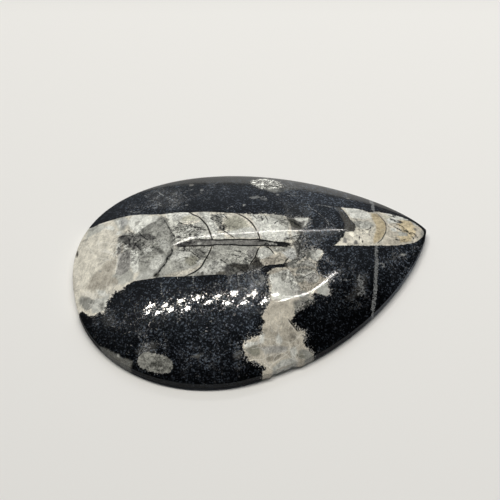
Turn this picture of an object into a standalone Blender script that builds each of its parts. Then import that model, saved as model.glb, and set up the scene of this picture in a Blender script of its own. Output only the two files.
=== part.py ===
"""A polished teardrop of black limestone with an Orthoceras fossil in it: one stone.

The base is flat, the girdle round it is a short upright wall, and a low dome rises from the girdle.
+X runs to the point of the teardrop, +Z is up, and the origin is under the middle of the stone.
"""

import math

import bmesh
import bpy
from mathutils import Vector

MM = 0.001

# The plan: the half width on each side of the long axis is share**point * (1 - share)**blunt, where share
# runs from 0 at the point to 1 at the round end. The stone was ground by hand, so its sides differ a little.
LENGTH = 90.0 * MM
FAR_SIDE = {"half_width": 33.65 * MM, "point": 0.757, "blunt": 0.417}
NEAR_SIDE = {"half_width": 30.55 * MM, "point": 0.788, "blunt": 0.533}

# The long axis lies this far to the near side of the origin, which is under the middle of the whole width.
AXIS_Y = -1.76 * MM

# The section: a rounded lower edge, an upright girdle, and a dome that is a parabola across the stone.
GIRDLE_HEIGHT = 2.4 * MM
DOME_RISE = 9.6 * MM
RIDGE = {"point": 1.1, "blunt": 0.92}
LOWER_EDGE_RADIUS = 0.8 * MM

# The rim of the near side is chipped where soft calcite reaches it: one step, beside a long shallow loss.
CHIP_MIDDLE_X = -1.75 * MM
CHIP_HALF_LENGTH = 2.6 * MM
CHIP_END = 1.6 * MM
CHIP_DEPTH = 1.0 * MM
WORN_MIDDLE_X = -8.0 * MM
WORN_HALF_LENGTH = 7.0 * MM
WORN_DEPTH = 0.42 * MM

# How finely the surface is divided.
STEPS_AROUND = 180
EDGE_STEPS = 3
DOME_RINGS = 16
SHARP_EDGE_DEG = 32.0

LIMESTONE_COLOUR = (0.017, 0.018, 0.022, 1.0)
LIMESTONE_ROUGHNESS = 0.16


def bell(share, curve):
    """A curve over 0 to 1 that is 0 at both ends and 1 at its highest place."""
    if not 0.0 < share < 1.0:
        return 0.0
    top = curve["point"] / (curve["point"] + curve["blunt"])
    height = top ** curve["point"] * (1 - top) ** curve["blunt"]
    return share ** curve["point"] * (1 - share) ** curve["blunt"] / height


def smooth_step(value):
    """0 below 0, 1 above 1, and an S curve between them."""
    value = min(max(value, 0.0), 1.0)
    return value * value * (3 - 2 * value)


def side_of(y):
    """The side of the long axis that y is on."""
    return FAR_SIDE if y >= AXIS_Y else NEAR_SIDE


def rim_point(turn):
    """A point of the plan's outline, where turn goes once round from the point of the teardrop, in radians."""
    x = LENGTH / 2 * math.cos(turn)
    share = 0.5 - x / LENGTH
    side = FAR_SIDE if math.sin(turn) >= 0 else NEAR_SIDE
    offset = side["half_width"] * bell(share, side)
    return Vector((x, AXIS_Y + math.copysign(offset, math.sin(turn))))


def rim_loss(rim):
    """How far the chip and the worn stretch move this point of the rim inwards."""
    if rim.y >= AXIS_Y:
        return 0.0
    beyond = abs(rim.x - CHIP_MIDDLE_X) - CHIP_HALF_LENGTH
    chip = CHIP_DEPTH * (1 - smooth_step(beyond / CHIP_END))
    worn = WORN_DEPTH * (1 - smooth_step(abs(rim.x - WORN_MIDDLE_X) / WORN_HALF_LENGTH))
    return max(chip, worn)


def dome_height(place):
    """The height of the dome over this place of the plan."""
    share = 0.5 - place.x / LENGTH
    side = side_of(place.y)
    half_width = side["half_width"] * bell(share, side)
    across = min(abs(place.y - AXIS_Y) / half_width, 1.0) if half_width > 0 else 1.0
    return GIRDLE_HEIGHT + DOME_RISE * bell(share, RIDGE) * (1 - across**2)


def widest_place():
    """The middle of the stone's widest part, which its rings are drawn round."""
    share = FAR_SIDE["point"] / (FAR_SIDE["point"] + FAR_SIDE["blunt"])
    return Vector((LENGTH * (0.5 - share), AXIS_Y))


def moved_in(rim, middle, distance):
    """The rim point, moved towards the middle by this distance."""
    return rim + (middle - rim).normalized() * distance


def wall_rings():
    """(inset, height) of each ring of the wall, from the flat base up the rounded edge."""
    rings = []
    for step in range(EDGE_STEPS + 1):
        angle = math.pi / 2 * step / EDGE_STEPS
        inset = LOWER_EDGE_RADIUS * (1 - math.sin(angle))
        rings.append((inset, LOWER_EDGE_RADIUS * (1 - math.cos(angle))))
    return rings


def stone_rings():
    """Every ring of the stone's points, from the base to the last ring below the top."""
    middle = widest_place()
    rims = [rim_point(2 * math.pi * step / STEPS_AROUND) for step in range(STEPS_AROUND)]
    rims = [moved_in(rim, middle, rim_loss(rim)) for rim in rims]
    rings = []
    for inset, height in wall_rings():
        places = [moved_in(rim, middle, inset) for rim in rims]
        rings.append([(place.x, place.y, height) for place in places])
    for ring in range(DOME_RINGS):
        places = [rim.lerp(middle, ring / DOME_RINGS) for rim in rims]
        rings.append([(place.x, place.y, dome_height(place)) for place in places])
    return rings


def bridge(mesh, lower, upper):
    """Faces between two rings of the same number of points."""
    for index, point in enumerate(lower):
        following = (index + 1) % len(lower)
        mesh.faces.new((point, lower[following], upper[following], upper[index]))


def stone_mesh():
    """The closed surface of the stone."""
    mesh = bmesh.new()
    rings = [[mesh.verts.new(point) for point in ring] for ring in stone_rings()]
    mesh.faces.new(reversed(rings[0]))
    for lower, upper in zip(rings, rings[1:]):
        bridge(mesh, lower, upper)
    middle = widest_place()
    top = mesh.verts.new((middle.x, middle.y, dome_height(middle)))
    for index, point in enumerate(rings[-1]):
        mesh.faces.new((point, rings[-1][(index + 1) % STEPS_AROUND], top))
    bmesh.ops.recalc_face_normals(mesh, faces=mesh.faces)
    data = bpy.data.meshes.new("orthoceras_stone")
    mesh.to_mesh(data)
    mesh.free()
    data.shade_smooth()
    data.set_sharp_from_angle(angle=math.radians(SHARP_EDGE_DEG))
    return data


def polished_limestone():
    """The finish of black limestone with a polish."""
    material = bpy.data.materials.new("polished_limestone")
    material.use_nodes = True
    shader = material.node_tree.nodes["Principled BSDF"]
    shader.inputs["Base Color"].default_value = LIMESTONE_COLOUR
    shader.inputs["Roughness"].default_value = LIMESTONE_ROUGHNESS
    shader.inputs["Metallic"].default_value = 0.0
    return material


def main():
    """Clears the scene and makes the stone."""
    for old in list(bpy.data.objects):
        bpy.data.objects.remove(old)
    stone = bpy.data.objects.new("orthoceras_stone", stone_mesh())
    stone.data.materials.append(polished_limestone())
    bpy.context.scene.collection.objects.link(stone)


main()
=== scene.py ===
"""A polished teardrop of black limestone with an Orthoceras fossil in it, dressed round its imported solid.

The stone is one piece. Its shape comes from a Geometry Nodes tree, its chip from mesh code, and its markings from
lines and outlines on the plan, which are stored on the mesh as distances in millimetres and read by one material.
+X runs to the point of the teardrop and +Z is up, in metres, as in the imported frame.
"""

import logging
import math
from dataclasses import dataclass, field
from enum import Enum
from typing import Any, Iterable

import bmesh
import bpy
import numpy as np
from mathutils import Matrix, Vector, noise


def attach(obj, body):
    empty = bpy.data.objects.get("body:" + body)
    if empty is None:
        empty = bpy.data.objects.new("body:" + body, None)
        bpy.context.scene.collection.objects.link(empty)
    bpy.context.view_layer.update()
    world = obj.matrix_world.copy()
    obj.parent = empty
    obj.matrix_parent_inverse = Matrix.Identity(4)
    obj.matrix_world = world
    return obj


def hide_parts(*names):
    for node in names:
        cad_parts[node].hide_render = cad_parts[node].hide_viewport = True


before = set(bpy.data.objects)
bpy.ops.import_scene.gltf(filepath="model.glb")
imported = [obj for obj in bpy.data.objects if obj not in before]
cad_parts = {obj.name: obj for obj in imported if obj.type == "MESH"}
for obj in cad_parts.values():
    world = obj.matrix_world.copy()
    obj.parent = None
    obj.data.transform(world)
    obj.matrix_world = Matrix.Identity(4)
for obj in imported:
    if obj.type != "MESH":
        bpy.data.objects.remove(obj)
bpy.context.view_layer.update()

MM = 0.001
STONE_NODE = "orthoceras_stone"
BODY = "root"
Points = tuple[tuple[float, float], ...]
Triple = tuple[float, float, float]
log = logging.getLogger("orthoceras")


# ---- Node trees as Python expressions ----


class Value:
    """A socket of a node tree that Python's operators work on, each adding a Math node."""

    def __init__(self, nodes: "Nodes", socket: bpy.types.NodeSocket) -> None:
        """Wraps the socket of a tree."""
        self.nodes = nodes
        self.socket = socket

    def _math(self, operation: str, *others: Any) -> "Value":
        """A Math node over this value and the others."""
        return self.nodes.math(operation, self, *others)

    def __add__(self, other: Any) -> "Value":
        """The sum."""
        return self._math("ADD", other)

    __radd__ = __add__

    def __sub__(self, other: Any) -> "Value":
        """The difference."""
        return self._math("SUBTRACT", other)

    def __rsub__(self, other: Any) -> "Value":
        """The other value less this one."""
        return self.nodes.math("SUBTRACT", other, self)

    def __mul__(self, other: Any) -> "Value":
        """The product."""
        return self._math("MULTIPLY", other)

    __rmul__ = __mul__

    def __truediv__(self, other: Any) -> "Value":
        """The quotient."""
        return self._math("DIVIDE", other)

    def __rtruediv__(self, other: Any) -> "Value":
        """The other value over this one."""
        return self.nodes.math("DIVIDE", other, self)

    def __pow__(self, other: Any) -> "Value":
        """This value to a power."""
        return self._math("POWER", other)

    def __abs__(self) -> "Value":
        """The value without its sign."""
        return self._math("ABSOLUTE")

    def __lt__(self, other: Any) -> "Value":
        """1 where this value is the smaller one, or else 0."""
        return self._math("LESS_THAN", other)

    def __gt__(self, other: Any) -> "Value":
        """1 where this value is the larger one, or else 0."""
        return self._math("GREATER_THAN", other)

    def least(self, other: Any) -> "Value":
        """The smaller of the two."""
        return self._math("MINIMUM", other)

    def most(self, other: Any) -> "Value":
        """The larger of the two."""
        return self._math("MAXIMUM", other)

    def root(self) -> "Value":
        """The square root."""
        return self._math("SQRT")

    def step(self, low: float, high: float) -> "Value":
        """A smooth step from 0 at low to 1 at high, or from 1 to 0 where high is below low.

        Args:
            low: The value at which the step starts.
            high: The value at which it ends.

        Returns:
            The step, between 0 and 1.
        """
        settings = {"interpolation_type": "SMOOTHSTEP"}
        if low < high:
            return self.nodes.node("ShaderNodeMapRange", settings, {"Value": self, 1: low, 2: high})
        inputs = {"Value": self, 1: high, 2: low, 3: 1.0, 4: 0.0}
        return self.nodes.node("ShaderNodeMapRange", settings, inputs)


class Nodes:
    """A node tree of any kind, and the few ways in which this script adds nodes to it."""

    def __init__(self, tree: bpy.types.NodeTree) -> None:
        """Wraps a tree."""
        self.tree = tree

    def add(self, kind: str, settings: dict[str, Any] | None = None, inputs: dict[Any, Any] | None = None) -> Any:
        """Adds a node.

        Args:
            kind: The node's type.
            settings: Its properties, which are set before its sockets.
            inputs: Values or links for its sockets, by name or index.

        Returns:
            The node.
        """
        node = self.tree.nodes.new(kind)
        for name, setting in (settings or {}).items():
            setattr(node, name, setting)
        for key, value in (inputs or {}).items():
            self.set(node.inputs[key], value)
        return node

    def node(self, kind: str, settings: dict | None = None, inputs: dict | None = None, output: Any = 0) -> Value:
        """Adds a node and gives one of its outputs.

        Args:
            kind: The node's type.
            settings: Its properties.
            inputs: Values or links for its sockets.
            output: The wanted output, by name or index.

        Returns:
            That output as a value.
        """
        return Value(self, self.add(kind, settings, inputs).outputs[output])

    def set(self, socket: bpy.types.NodeSocket, value: Any) -> None:
        """Links a value or socket to a socket, or writes a plain number, colour or vector on it."""
        if isinstance(value, Value):
            self.tree.links.new(value.socket, socket)
        elif isinstance(value, bpy.types.NodeSocket):
            self.tree.links.new(value, socket)
        else:
            socket.default_value = value

    def math(self, operation: str, *values: Any) -> Value:
        """A Math node over one, two or three values."""
        return self.node("ShaderNodeMath", {"operation": operation}, dict(enumerate(values)))

    def vector(self, operation: str, *values: Any, output: Any = 0) -> Value:
        """A Vector Math node over one or more vectors."""
        return self.node("ShaderNodeVectorMath", {"operation": operation}, dict(enumerate(values)), output)

    def combine(self, x: Any, y: Any, z: Any) -> Value:
        """A vector of three values."""
        return self.node("ShaderNodeCombineXYZ", None, {0: x, 1: y, 2: z})

    def mix(self, share: Any, first: Any, second: Any) -> Value:
        """A mix of two colours, all of the second one where share is 1."""
        return self.node("ShaderNodeMix", {"data_type": "VECTOR"}, {0: share, 4: first, 5: second}, 1)

    def separate(self, vector: Any) -> list[Value]:
        """The three values of a vector."""
        node = self.add("ShaderNodeSeparateXYZ", None, {0: vector})
        return [Value(self, socket) for socket in node.outputs]

    def scaled(self, vector: Any, share: Any) -> Value:
        """A colour or a vector times a share."""
        return self.node("ShaderNodeVectorMath", {"operation": "SCALE"}, {0: vector, "Scale": share})

    def stored(self, name: str) -> Value:
        """An attribute of a shaded mesh as a vector."""
        return self.node("ShaderNodeAttribute", {"attribute_name": name}, None, "Vector")

    def noise(self, place: Value, scale: float, detail: float, output: Any = 0) -> Value:
        """A noise between 0 and 1, at this many waves to the unit of place."""
        return self.node("ShaderNodeTexNoise", None, {"Vector": place, "Scale": scale, "Detail": detail}, output)

    def cells(self, place: Value, scale: float, output: str, feature: str = "F1") -> Value:
        """A Voronoi pattern, at this many cells to the unit of place."""
        return self.node("ShaderNodeTexVoronoi", {"feature": feature}, {"Vector": place, "Scale": scale}, output)

    def chance(self, place: Value, scale: float) -> Value:
        """An even random number between 0 and 1 for each cell of that pattern."""
        return self.separate(self.cells(place, scale, "Color"))[0]


# ---- The shape ----


@dataclass(frozen=True)
class Side:
    """One side of the plan: half width = share**point * (1 - share)**blunt, from the point to the round end."""

    half_width: float
    point: float
    blunt: float

    def width_at(self, share: np.ndarray) -> np.ndarray:
        """The half width at each share of the length, counted from the point."""
        top = self.point / (self.point + self.blunt)
        most = top**self.point * (1 - top) ** self.blunt
        share = np.clip(share, 0.0, 1.0)
        return self.half_width * share**self.point * (1 - share) ** self.blunt / most


@dataclass(frozen=True)
class Chip:
    """The broken stretch of the near rim, in metres: a deep step beside a long shallow loss."""

    middle: float = -1.75 * MM
    half_length: float = 2.6 * MM
    end: float = 1.6 * MM
    depth: float = 1.0 * MM
    worn_middle: float = -8.0 * MM
    worn_half_length: float = 7.0 * MM
    worn_depth: float = 0.42 * MM
    lean: tuple[float, float] = (0.42, 0.5)
    scallops: tuple[Triple, ...] = ((0.14, 2.6, 0.6), (0.1, 5.9, 0.0))
    narrowness: int = 40

    def loss(self, x: np.ndarray) -> np.ndarray:
        """How far the foot of the rim is set in at each x."""
        beyond = np.clip((np.abs(x - self.middle) - self.half_length) / self.end, 0, 1)
        worn = np.clip(np.abs(x - self.worn_middle) / self.worn_half_length, 0, 1)
        step = self.depth * (1 - beyond**2 * (3 - 2 * beyond))
        return np.maximum(step, self.worn_depth * (1 - worn**2 * (3 - 2 * worn)))

    def inset(self, x: np.ndarray, low: np.ndarray) -> np.ndarray:
        """How far the rim is set in at each x, where low runs from 0 at its top to 1 at its foot."""
        scallop = sum(size * np.sin(x / MM * waves + start) for size, waves, start in self.scallops)
        return self.loss(x) * (self.lean[0] + self.lean[1] * np.sqrt(low) + scallop * low)


@dataclass(frozen=True)
class StoneShape:
    """The sizes of the ground and polished stone, in metres, and the mesh that they make."""

    length: float = 90.0 * MM
    far: Side = Side(33.65 * MM, 0.757, 0.417)
    near: Side = Side(30.55 * MM, 0.788, 0.533)
    axis_y: float = -1.76 * MM
    girdle: float = 2.4 * MM
    rise: float = 9.6 * MM
    ridge_point: float = 1.1
    ridge_blunt: float = 0.92
    lower_edge: float = 0.8 * MM
    chip: Chip = Chip()
    columns: int = 320
    rows: int = 236
    wall_levels: tuple[float, ...] = (0.94, 0.8, 0.64, 0.48, 0.33, 0.2, 0.1, 0.03, 0.0)
    base_shares: tuple[float, ...] = (0.05, 0.15, 0.3, 0.5, 0.7, 0.87, 1.0)

    @property
    def middle(self) -> Vector:
        """The middle of the widest part, which the rings of the wall and the base are drawn round."""
        share = self.far.point / (self.far.point + self.far.blunt)
        return Vector((self.length * (0.5 - share), self.axis_y, 0.0))

    def mesh(self) -> bpy.types.Mesh:
        """Makes the closed surface of the stone.

        Returns:
            A plain mesh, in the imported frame.
        """
        host = bpy.data.objects.new("stone_host", bpy.data.meshes.new("stone_host"))
        bpy.context.scene.collection.objects.link(host)
        modifier = host.modifiers.new("stone", "NODES")
        modifier.node_group = self._tree()
        for item in modifier.node_group.interface.items_tree:
            if item.item_type == "SOCKET" and item.in_out == "INPUT" and item.name in self._sizes():
                modifier[item.identifier] = self._sizes()[item.name]
        bpy.context.view_layer.update()
        evaluated = host.evaluated_get(bpy.context.evaluated_depsgraph_get())
        mesh = bpy.data.meshes.new_from_object(evaluated)
        bpy.data.objects.remove(host)
        self._cut_chip(mesh)
        return self._closed(mesh)

    def _sizes(self) -> dict[str, Any]:
        """The tree's inputs by name."""
        return {
            "Length": self.length,
            "Axis Y": self.axis_y,
            "Far Half Width": self.far.half_width,
            "Far Point": self.far.point,
            "Far Blunt": self.far.blunt,
            "Near Half Width": self.near.half_width,
            "Near Point": self.near.point,
            "Near Blunt": self.near.blunt,
            "Girdle Height": self.girdle,
            "Dome Rise": self.rise,
            "Ridge Point": self.ridge_point,
            "Ridge Blunt": self.ridge_blunt,
            "Lower Edge": self.lower_edge,
            "Columns": self.columns,
            "Rows": self.rows,
        }

    def _tree(self) -> bpy.types.NodeTree:
        """The tree that draws the dome on a disc, and then its wall and base ring by ring."""
        tree = bpy.data.node_groups.new("stone_shape", "GeometryNodeTree")
        tree.interface.new_socket("Geometry", in_out="INPUT", socket_type="NodeSocketGeometry")
        for name, size in self._sizes().items():
            kind = "NodeSocketInt" if isinstance(size, int) else "NodeSocketFloat"
            tree.interface.new_socket(name, in_out="INPUT", socket_type=kind)
        tree.interface.new_socket("Geometry", in_out="OUTPUT", socket_type="NodeSocketGeometry")
        nodes = Nodes(tree)
        group = nodes.add("NodeGroupInput")
        size = {name: Value(nodes, group.outputs[name]) for name in self._sizes()}

        grid = nodes.node("GeometryNodeMeshGrid", None, {0: 2.0, 1: 2.0, 2: size["Columns"], 3: size["Rows"]})
        across_u, across_v, _ = nodes.separate(nodes.node("GeometryNodeInputPosition"))
        disc_x = across_u * (1 - across_v * across_v / 2).root()
        disc_y = across_v * (1 - across_u * across_u / 2).root()
        dome = self._dome_place(nodes, size, disc_x, disc_y)
        geometry = nodes.node("GeometryNodeSetPosition", None, {"Geometry": grid, "Position": dome})
        place = nodes.node("GeometryNodeInputPosition")
        on_points = {"data_type": "FLOAT_VECTOR", "domain": "POINT"}
        rim = {"Geometry": geometry, "Name": "rim", "Value": place}
        geometry = nodes.node("GeometryNodeStoreNamedAttribute", on_points, rim)
        neighbours = nodes.node("GeometryNodeInputMeshEdgeNeighbors")
        is_equal = {"data_type": "INT", "operation": "EQUAL"}
        open_edge = nodes.node("FunctionNodeCompare", is_equal, {2: neighbours, 3: 1})
        for ring in self._ring_places(nodes, size):
            edges = {"Mesh": geometry, "Selection": open_edge, "Offset Scale": 0.0}
            extrude = nodes.add("GeometryNodeExtrudeMesh", {"mode": "EDGES"}, edges)
            open_edge = Value(nodes, extrude.outputs["Top"])
            moved = {"Geometry": extrude.outputs["Mesh"], "Selection": open_edge, "Position": ring}
            geometry = nodes.node("GeometryNodeSetPosition", None, moved)
        geometry = nodes.node("GeometryNodeMergeByDistance", None, {"Geometry": geometry, "Distance": 1e-6})
        geometry = nodes.node("GeometryNodeSetShadeSmooth", None, {"Geometry": geometry, "Shade Smooth": True})
        geometry = nodes.node("GeometryNodeRealizeInstances", None, {"Geometry": geometry})
        finish = bpy.data.materials.new("stone_blank")
        geometry = nodes.node("GeometryNodeSetMaterial", None, {"Geometry": geometry, "Material": finish})
        nodes.add("NodeGroupOutput", None, {0: geometry})
        return tree

    def _dome_place(self, nodes: Nodes, size: dict[str, Value], disc_x: Value, disc_y: Value) -> Value:
        """Where each point of a unit disc lies on the dome.

        Args:
            nodes: The tree.
            size: Its inputs by name.
            disc_x: The disc's coordinate towards the point of the teardrop.
            disc_y: The disc's coordinate towards the far side.

        Returns:
            The place as a vector.
        """
        share = ((1 - disc_x) / 2).most(1e-6).least(1 - 1e-6)
        is_far = disc_y > 0.0
        half_width = self._of_side(size, "Half Width", is_far)
        point = self._of_side(size, "Point", is_far)
        blunt = self._of_side(size, "Blunt", is_far)
        most = self._bell_top(point, blunt)
        spread = half_width * share ** (point - 0.5) * (1 - share) ** (blunt - 0.5) / (2 * most)
        ridge_point, ridge_blunt = size["Ridge Point"], size["Ridge Blunt"]
        ridge = share ** (ridge_point - 1) * (1 - share) ** (ridge_blunt - 1)
        ridge = ridge / (4 * self._bell_top(ridge_point, ridge_blunt))
        fall = 1 - disc_x * disc_x - disc_y * disc_y
        return nodes.combine(
            size["Length"] * disc_x / 2,
            size["Axis Y"] + disc_y * spread,
            size["Girdle Height"] + size["Dome Rise"] * fall * ridge,
        )

    @staticmethod
    def _of_side(size: dict[str, Value], name: str, is_far: Value) -> Value:
        """The size of the far side where is_far is 1, and of the near side where it is 0."""
        near = size[f"Near {name}"]
        return near + (size[f"Far {name}"] - near) * is_far

    @staticmethod
    def _bell_top(point: Value, blunt: Value) -> Value:
        """The highest value of share**point * (1 - share)**blunt."""
        top = point / (point + blunt)
        return top**point * (1 - top) ** blunt

    def _ring_places(self, nodes: Nodes, size: dict[str, Value]) -> Iterable[Value]:
        """Where each ring below the dome lies, down the wall and in to the middle of the base."""
        rim = nodes.node("GeometryNodeInputNamedAttribute", {"data_type": "FLOAT_VECTOR"}, {"Name": "rim"})
        girdle, radius = size["Girdle Height"], size["Lower Edge"]
        inward = nodes.vector("SUBTRACT", tuple(self.middle), rim)
        inward = nodes.vector("NORMALIZE", nodes.vector("MULTIPLY", inward, (1.0, 1.0, 0.0)))
        flat_rim = nodes.vector("MULTIPLY", rim, (1.0, 1.0, 0.0))

        def moved(height: Any, inset: Any) -> Value:
            """The rim at this height, set in by this distance."""
            place = nodes.vector("ADD", flat_rim, nodes.scaled(inward, inset))
            return nodes.vector("ADD", place, nodes.combine(0.0, 0.0, height))

        for level in self.wall_levels:
            height = girdle * level
            under = (radius - height).most(0.0)
            yield moved(height, radius - (radius * radius - under * under).root())
        foot = moved(0.0, radius)
        for share in self.base_shares:
            settings = {"data_type": "VECTOR", "clamp_factor": False}
            yield nodes.node("ShaderNodeMix", settings, {0: share, 4: foot, 5: tuple(self.middle)}, 1)

    def _cut_chip(self, mesh: bpy.types.Mesh) -> None:
        """Sets in the wall at the chip, most at its foot, with a scalloped face, and the dome's edge a little."""
        points = np.empty(len(mesh.vertices) * 3)
        mesh.vertices.foreach_get("co", points)
        points = points.reshape(-1, 3)
        share = 0.5 - points[:, 0] / self.length
        width = np.maximum(self.near.width_at(share), 1e-9)
        outward = np.clip((self.axis_y - points[:, 1]) / width, 0.0, 1.0)
        low = np.clip(1 - points[:, 2] / self.girdle, 0.0, 1.0)
        points[:, 1] += self.chip.inset(points[:, 0], low) * outward**self.chip.narrowness
        mesh.vertices.foreach_set("co", points.ravel())

    def _closed(self, mesh: bpy.types.Mesh) -> bpy.types.Mesh:
        """Turns every face outwards and drops the tree's working attribute."""
        work = bmesh.new()
        work.from_mesh(mesh)
        bmesh.ops.dissolve_degenerate(work, edges=work.edges, dist=1e-7)
        bmesh.ops.recalc_face_normals(work, faces=work.faces)
        work.to_mesh(mesh)
        work.free()
        mesh.attributes.remove(mesh.attributes["rim"])
        mesh.name = STONE_NODE
        return mesh


# ---- The markings ----


class Mineral(Enum):
    """The hues of the calcite and of the limestone, each as red, green and blue where green is 1."""

    WHITE = (0.985, 1.0, 0.945)
    CREAM = (1.04, 1.0, 0.88)
    TAN = (1.065, 1.0, 0.86)
    HONEY = (1.17, 1.0, 0.68)
    GREY = (0.99, 1.0, 0.925)
    OLIVE = (1.01, 1.0, 0.84)
    SMOKE = (1.01, 1.0, 0.95)
    ICE = (0.98, 1.0, 0.98)
    SLATE = (0.94, 1.0, 1.10)
    BLACK = (0.85, 1.0, 1.35)


@dataclass(frozen=True)
class Crystal:
    """A patch of one mineral on the plan."""

    mineral: Mineral
    shade: float
    soft: float
    corners: Points

    @property
    def colour(self) -> np.ndarray:
        """Its colour, from a shade that runs from 0, black, to 255, white, as the eye sees it."""
        return np.array(self.mineral.value) * (self.shade / 255.0) ** 2.2

    @property
    def blend(self) -> float:
        """The width of the band in which its edge blends with what lies under it."""
        return 1.2 * self.soft + 0.05


@dataclass(frozen=True)
class Stroke:
    """A thin line on the plan, which runs out at both ends."""

    width: float
    course: Points

    FADE = 0.12
    THIN_END = 0.35


@dataclass(frozen=True)
class Spot:
    """A round region of the plan where some quality of the stone is strong."""

    x: float
    y: float
    radius: float
    amount: float


def strokes(width: float, *courses: Points) -> tuple[Stroke, ...]:
    """Strokes of one width."""
    return tuple(Stroke(width, course) for course in courses)


def smoothed(points: Points, closed: bool, steps: int = 4) -> np.ndarray:
    """A curve through points.

    Args:
        points: The points, which the curve passes through.
        closed: Whether the curve runs back to its first point.
        steps: How many steps lie between one point and the next.

    Returns:
        The curve's points, one to a row.
    """
    stops = np.array(points)
    if closed:
        before, after, beyond = np.roll(stops, 1, 0), np.roll(stops, -1, 0), np.roll(stops, -2, 0)
    else:
        padded = np.vstack([2 * stops[0] - stops[1], stops, 2 * stops[-1] - stops[-2]])
        before, stops, after, beyond = padded[:-3], padded[1:-2], padded[2:-1], padded[3:]
    curve = []
    for share in np.arange(steps) / steps:
        bend = 2 * before - 5 * stops + 4 * after - beyond
        turn = 3 * stops - before - 3 * after + beyond
        curve.append(stops + 0.5 * share * ((after - before) + share * (bend + share * turn)))
    curve = np.stack(curve, 1).reshape(-1, 2)
    return curve if closed else np.vstack([curve, after[-1]])


class Plan:
    """The plan of a mesh's points, in millimetres, and what lies near them."""

    FAR_OFF = 9.0

    def __init__(self, places: np.ndarray) -> None:
        """Takes the points' places, one to a row."""
        self.places = places

    def rows_near(self, course: np.ndarray, reach: float) -> np.ndarray:
        """The rows of the points that lie within reach of a course's box."""
        low, high = course.min(0) - reach, course.max(0) + reach
        return np.nonzero(((self.places > low) & (self.places < high)).all(1))[0]

    def to_course(self, course: np.ndarray, rows: np.ndarray) -> tuple[np.ndarray, np.ndarray, np.ndarray]:
        """How some points lie to a course.

        Args:
            course: The course's points.
            rows: The rows of the wanted points.

        Returns:
            Their distances to it, the same with a sign for the side, and the share of its length beside them.
        """
        places = self.places[rows]
        nearest = np.full(len(rows), np.inf)
        side = np.zeros(len(rows))
        share = np.zeros(len(rows))
        lengths = np.hypot(*np.diff(course, axis=0).T)
        before = np.concatenate([[0.0], np.cumsum(lengths)])
        for index, (start, end) in enumerate(zip(course, course[1:])):
            run, gap = end - start, places - start
            along = np.clip(gap @ run / max(run @ run, 1e-9), 0.0, 1.0)
            distance = np.hypot(*(gap - along[:, None] * run).T)
            closer = distance < nearest
            nearest = np.where(closer, distance, nearest)
            cross = run[0] * gap[:, 1] - run[1] * gap[:, 0]
            side = np.where(closer, np.copysign(distance, cross), side)
            share = np.where(closer, (before[index] + along * lengths[index]) / before[-1], share)
        return nearest, side, share

    def depth_in(self, outline: np.ndarray, rows: np.ndarray) -> np.ndarray:
        """How far some points lie inside a closed outline, or with a minus outside it."""
        ring = np.vstack([outline, outline[:1]])
        distance, _, _ = self.to_course(ring, rows)
        x, y = self.places[rows].T
        within = np.zeros(len(rows), bool)
        for (x0, y0), (x1, y1) in zip(ring, ring[1:]):
            if y0 != y1:
                within ^= ((y0 > y) != (y1 > y)) & (x < (x1 - x0) * (y - y0) / (y1 - y0) + x0)
        return np.where(within, distance, -distance)

    def body(self, outlines: Iterable[np.ndarray], reach: float = 4.0) -> np.ndarray:
        """How far each point lies inside the nearest of several outlines."""
        depth = np.full(len(self.places), -reach)
        for outline in outlines:
            rows = self.rows_near(outline, reach)
            depth[rows] = np.maximum(depth[rows], self.depth_in(outline, rows))
        return np.minimum(depth, reach)

    def strokes(self, strokes: Iterable[Stroke], reach: float = 1.6) -> np.ndarray:
        """The nearest of several strokes: its side distance, plain distance and half width at each point."""
        found = np.tile((self.FAR_OFF, self.FAR_OFF, 0.0), (len(self.places), 1))
        for stroke in strokes:
            course = smoothed(stroke.course, closed=False)
            rows = self.rows_near(course, reach)
            distance, side, share = self.to_course(course, rows)
            taper = np.clip(np.minimum(share, 1 - share) / stroke.FADE, 0.0, 1.0)
            half = stroke.width / 2 * (stroke.THIN_END + (1 - stroke.THIN_END) * taper)
            closer = distance < found[rows, 1]
            found[rows[closer]] = np.stack([side, distance, half], 1)[closer]
        return found

    def spots(self, spots: Iterable[Spot]) -> np.ndarray:
        """The largest amount that any of several spots has at each point."""
        amount = np.zeros(len(self.places))
        for spot in spots:
            distance = np.hypot(*(self.places - (spot.x, spot.y)).T) / spot.radius
            amount = np.maximum(amount, spot.amount * np.exp(-(distance**4)))
        return amount

    def painted(self, base: Crystal, crystals: Iterable[Crystal]) -> np.ndarray:
        """The colour of each point, with crystals laid over a base colour in turn."""
        colours = np.tile(base.colour, (len(self.places), 1))
        for crystal in crystals:
            outline = np.array(crystal.corners)
            rows = self.rows_near(outline, crystal.soft + 0.3)
            cover = np.clip(0.5 + self.depth_in(outline, rows) / crystal.blend, 0.0, 1.0)
            cover = (cover * cover * (3 - 2 * cover))[:, None]
            colours[rows] += (crystal.colour - colours[rows]) * cover
        return colours


def dot(x: float, y: float, radius: float, flat: float = 1.0, turn_deg: float = 0.0) -> Points:
    """The corners of a small round or oval patch.

    Args:
        x: Its middle.
        y: Its middle.
        radius: Its half length.
        flat: Its width over its length.
        turn_deg: The direction of its length.

    Returns:
        Eight corners.
    """
    corners = []
    for step in range(8):
        angle, turn = math.pi / 4 * step, math.radians(turn_deg)
        along, across = radius * math.cos(angle), radius * flat * math.sin(angle)
        east = along * math.cos(turn) - across * math.sin(turn)
        north = along * math.sin(turn) + across * math.cos(turn)
        corners.append((x + east, y + north))
    return tuple(corners)


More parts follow.
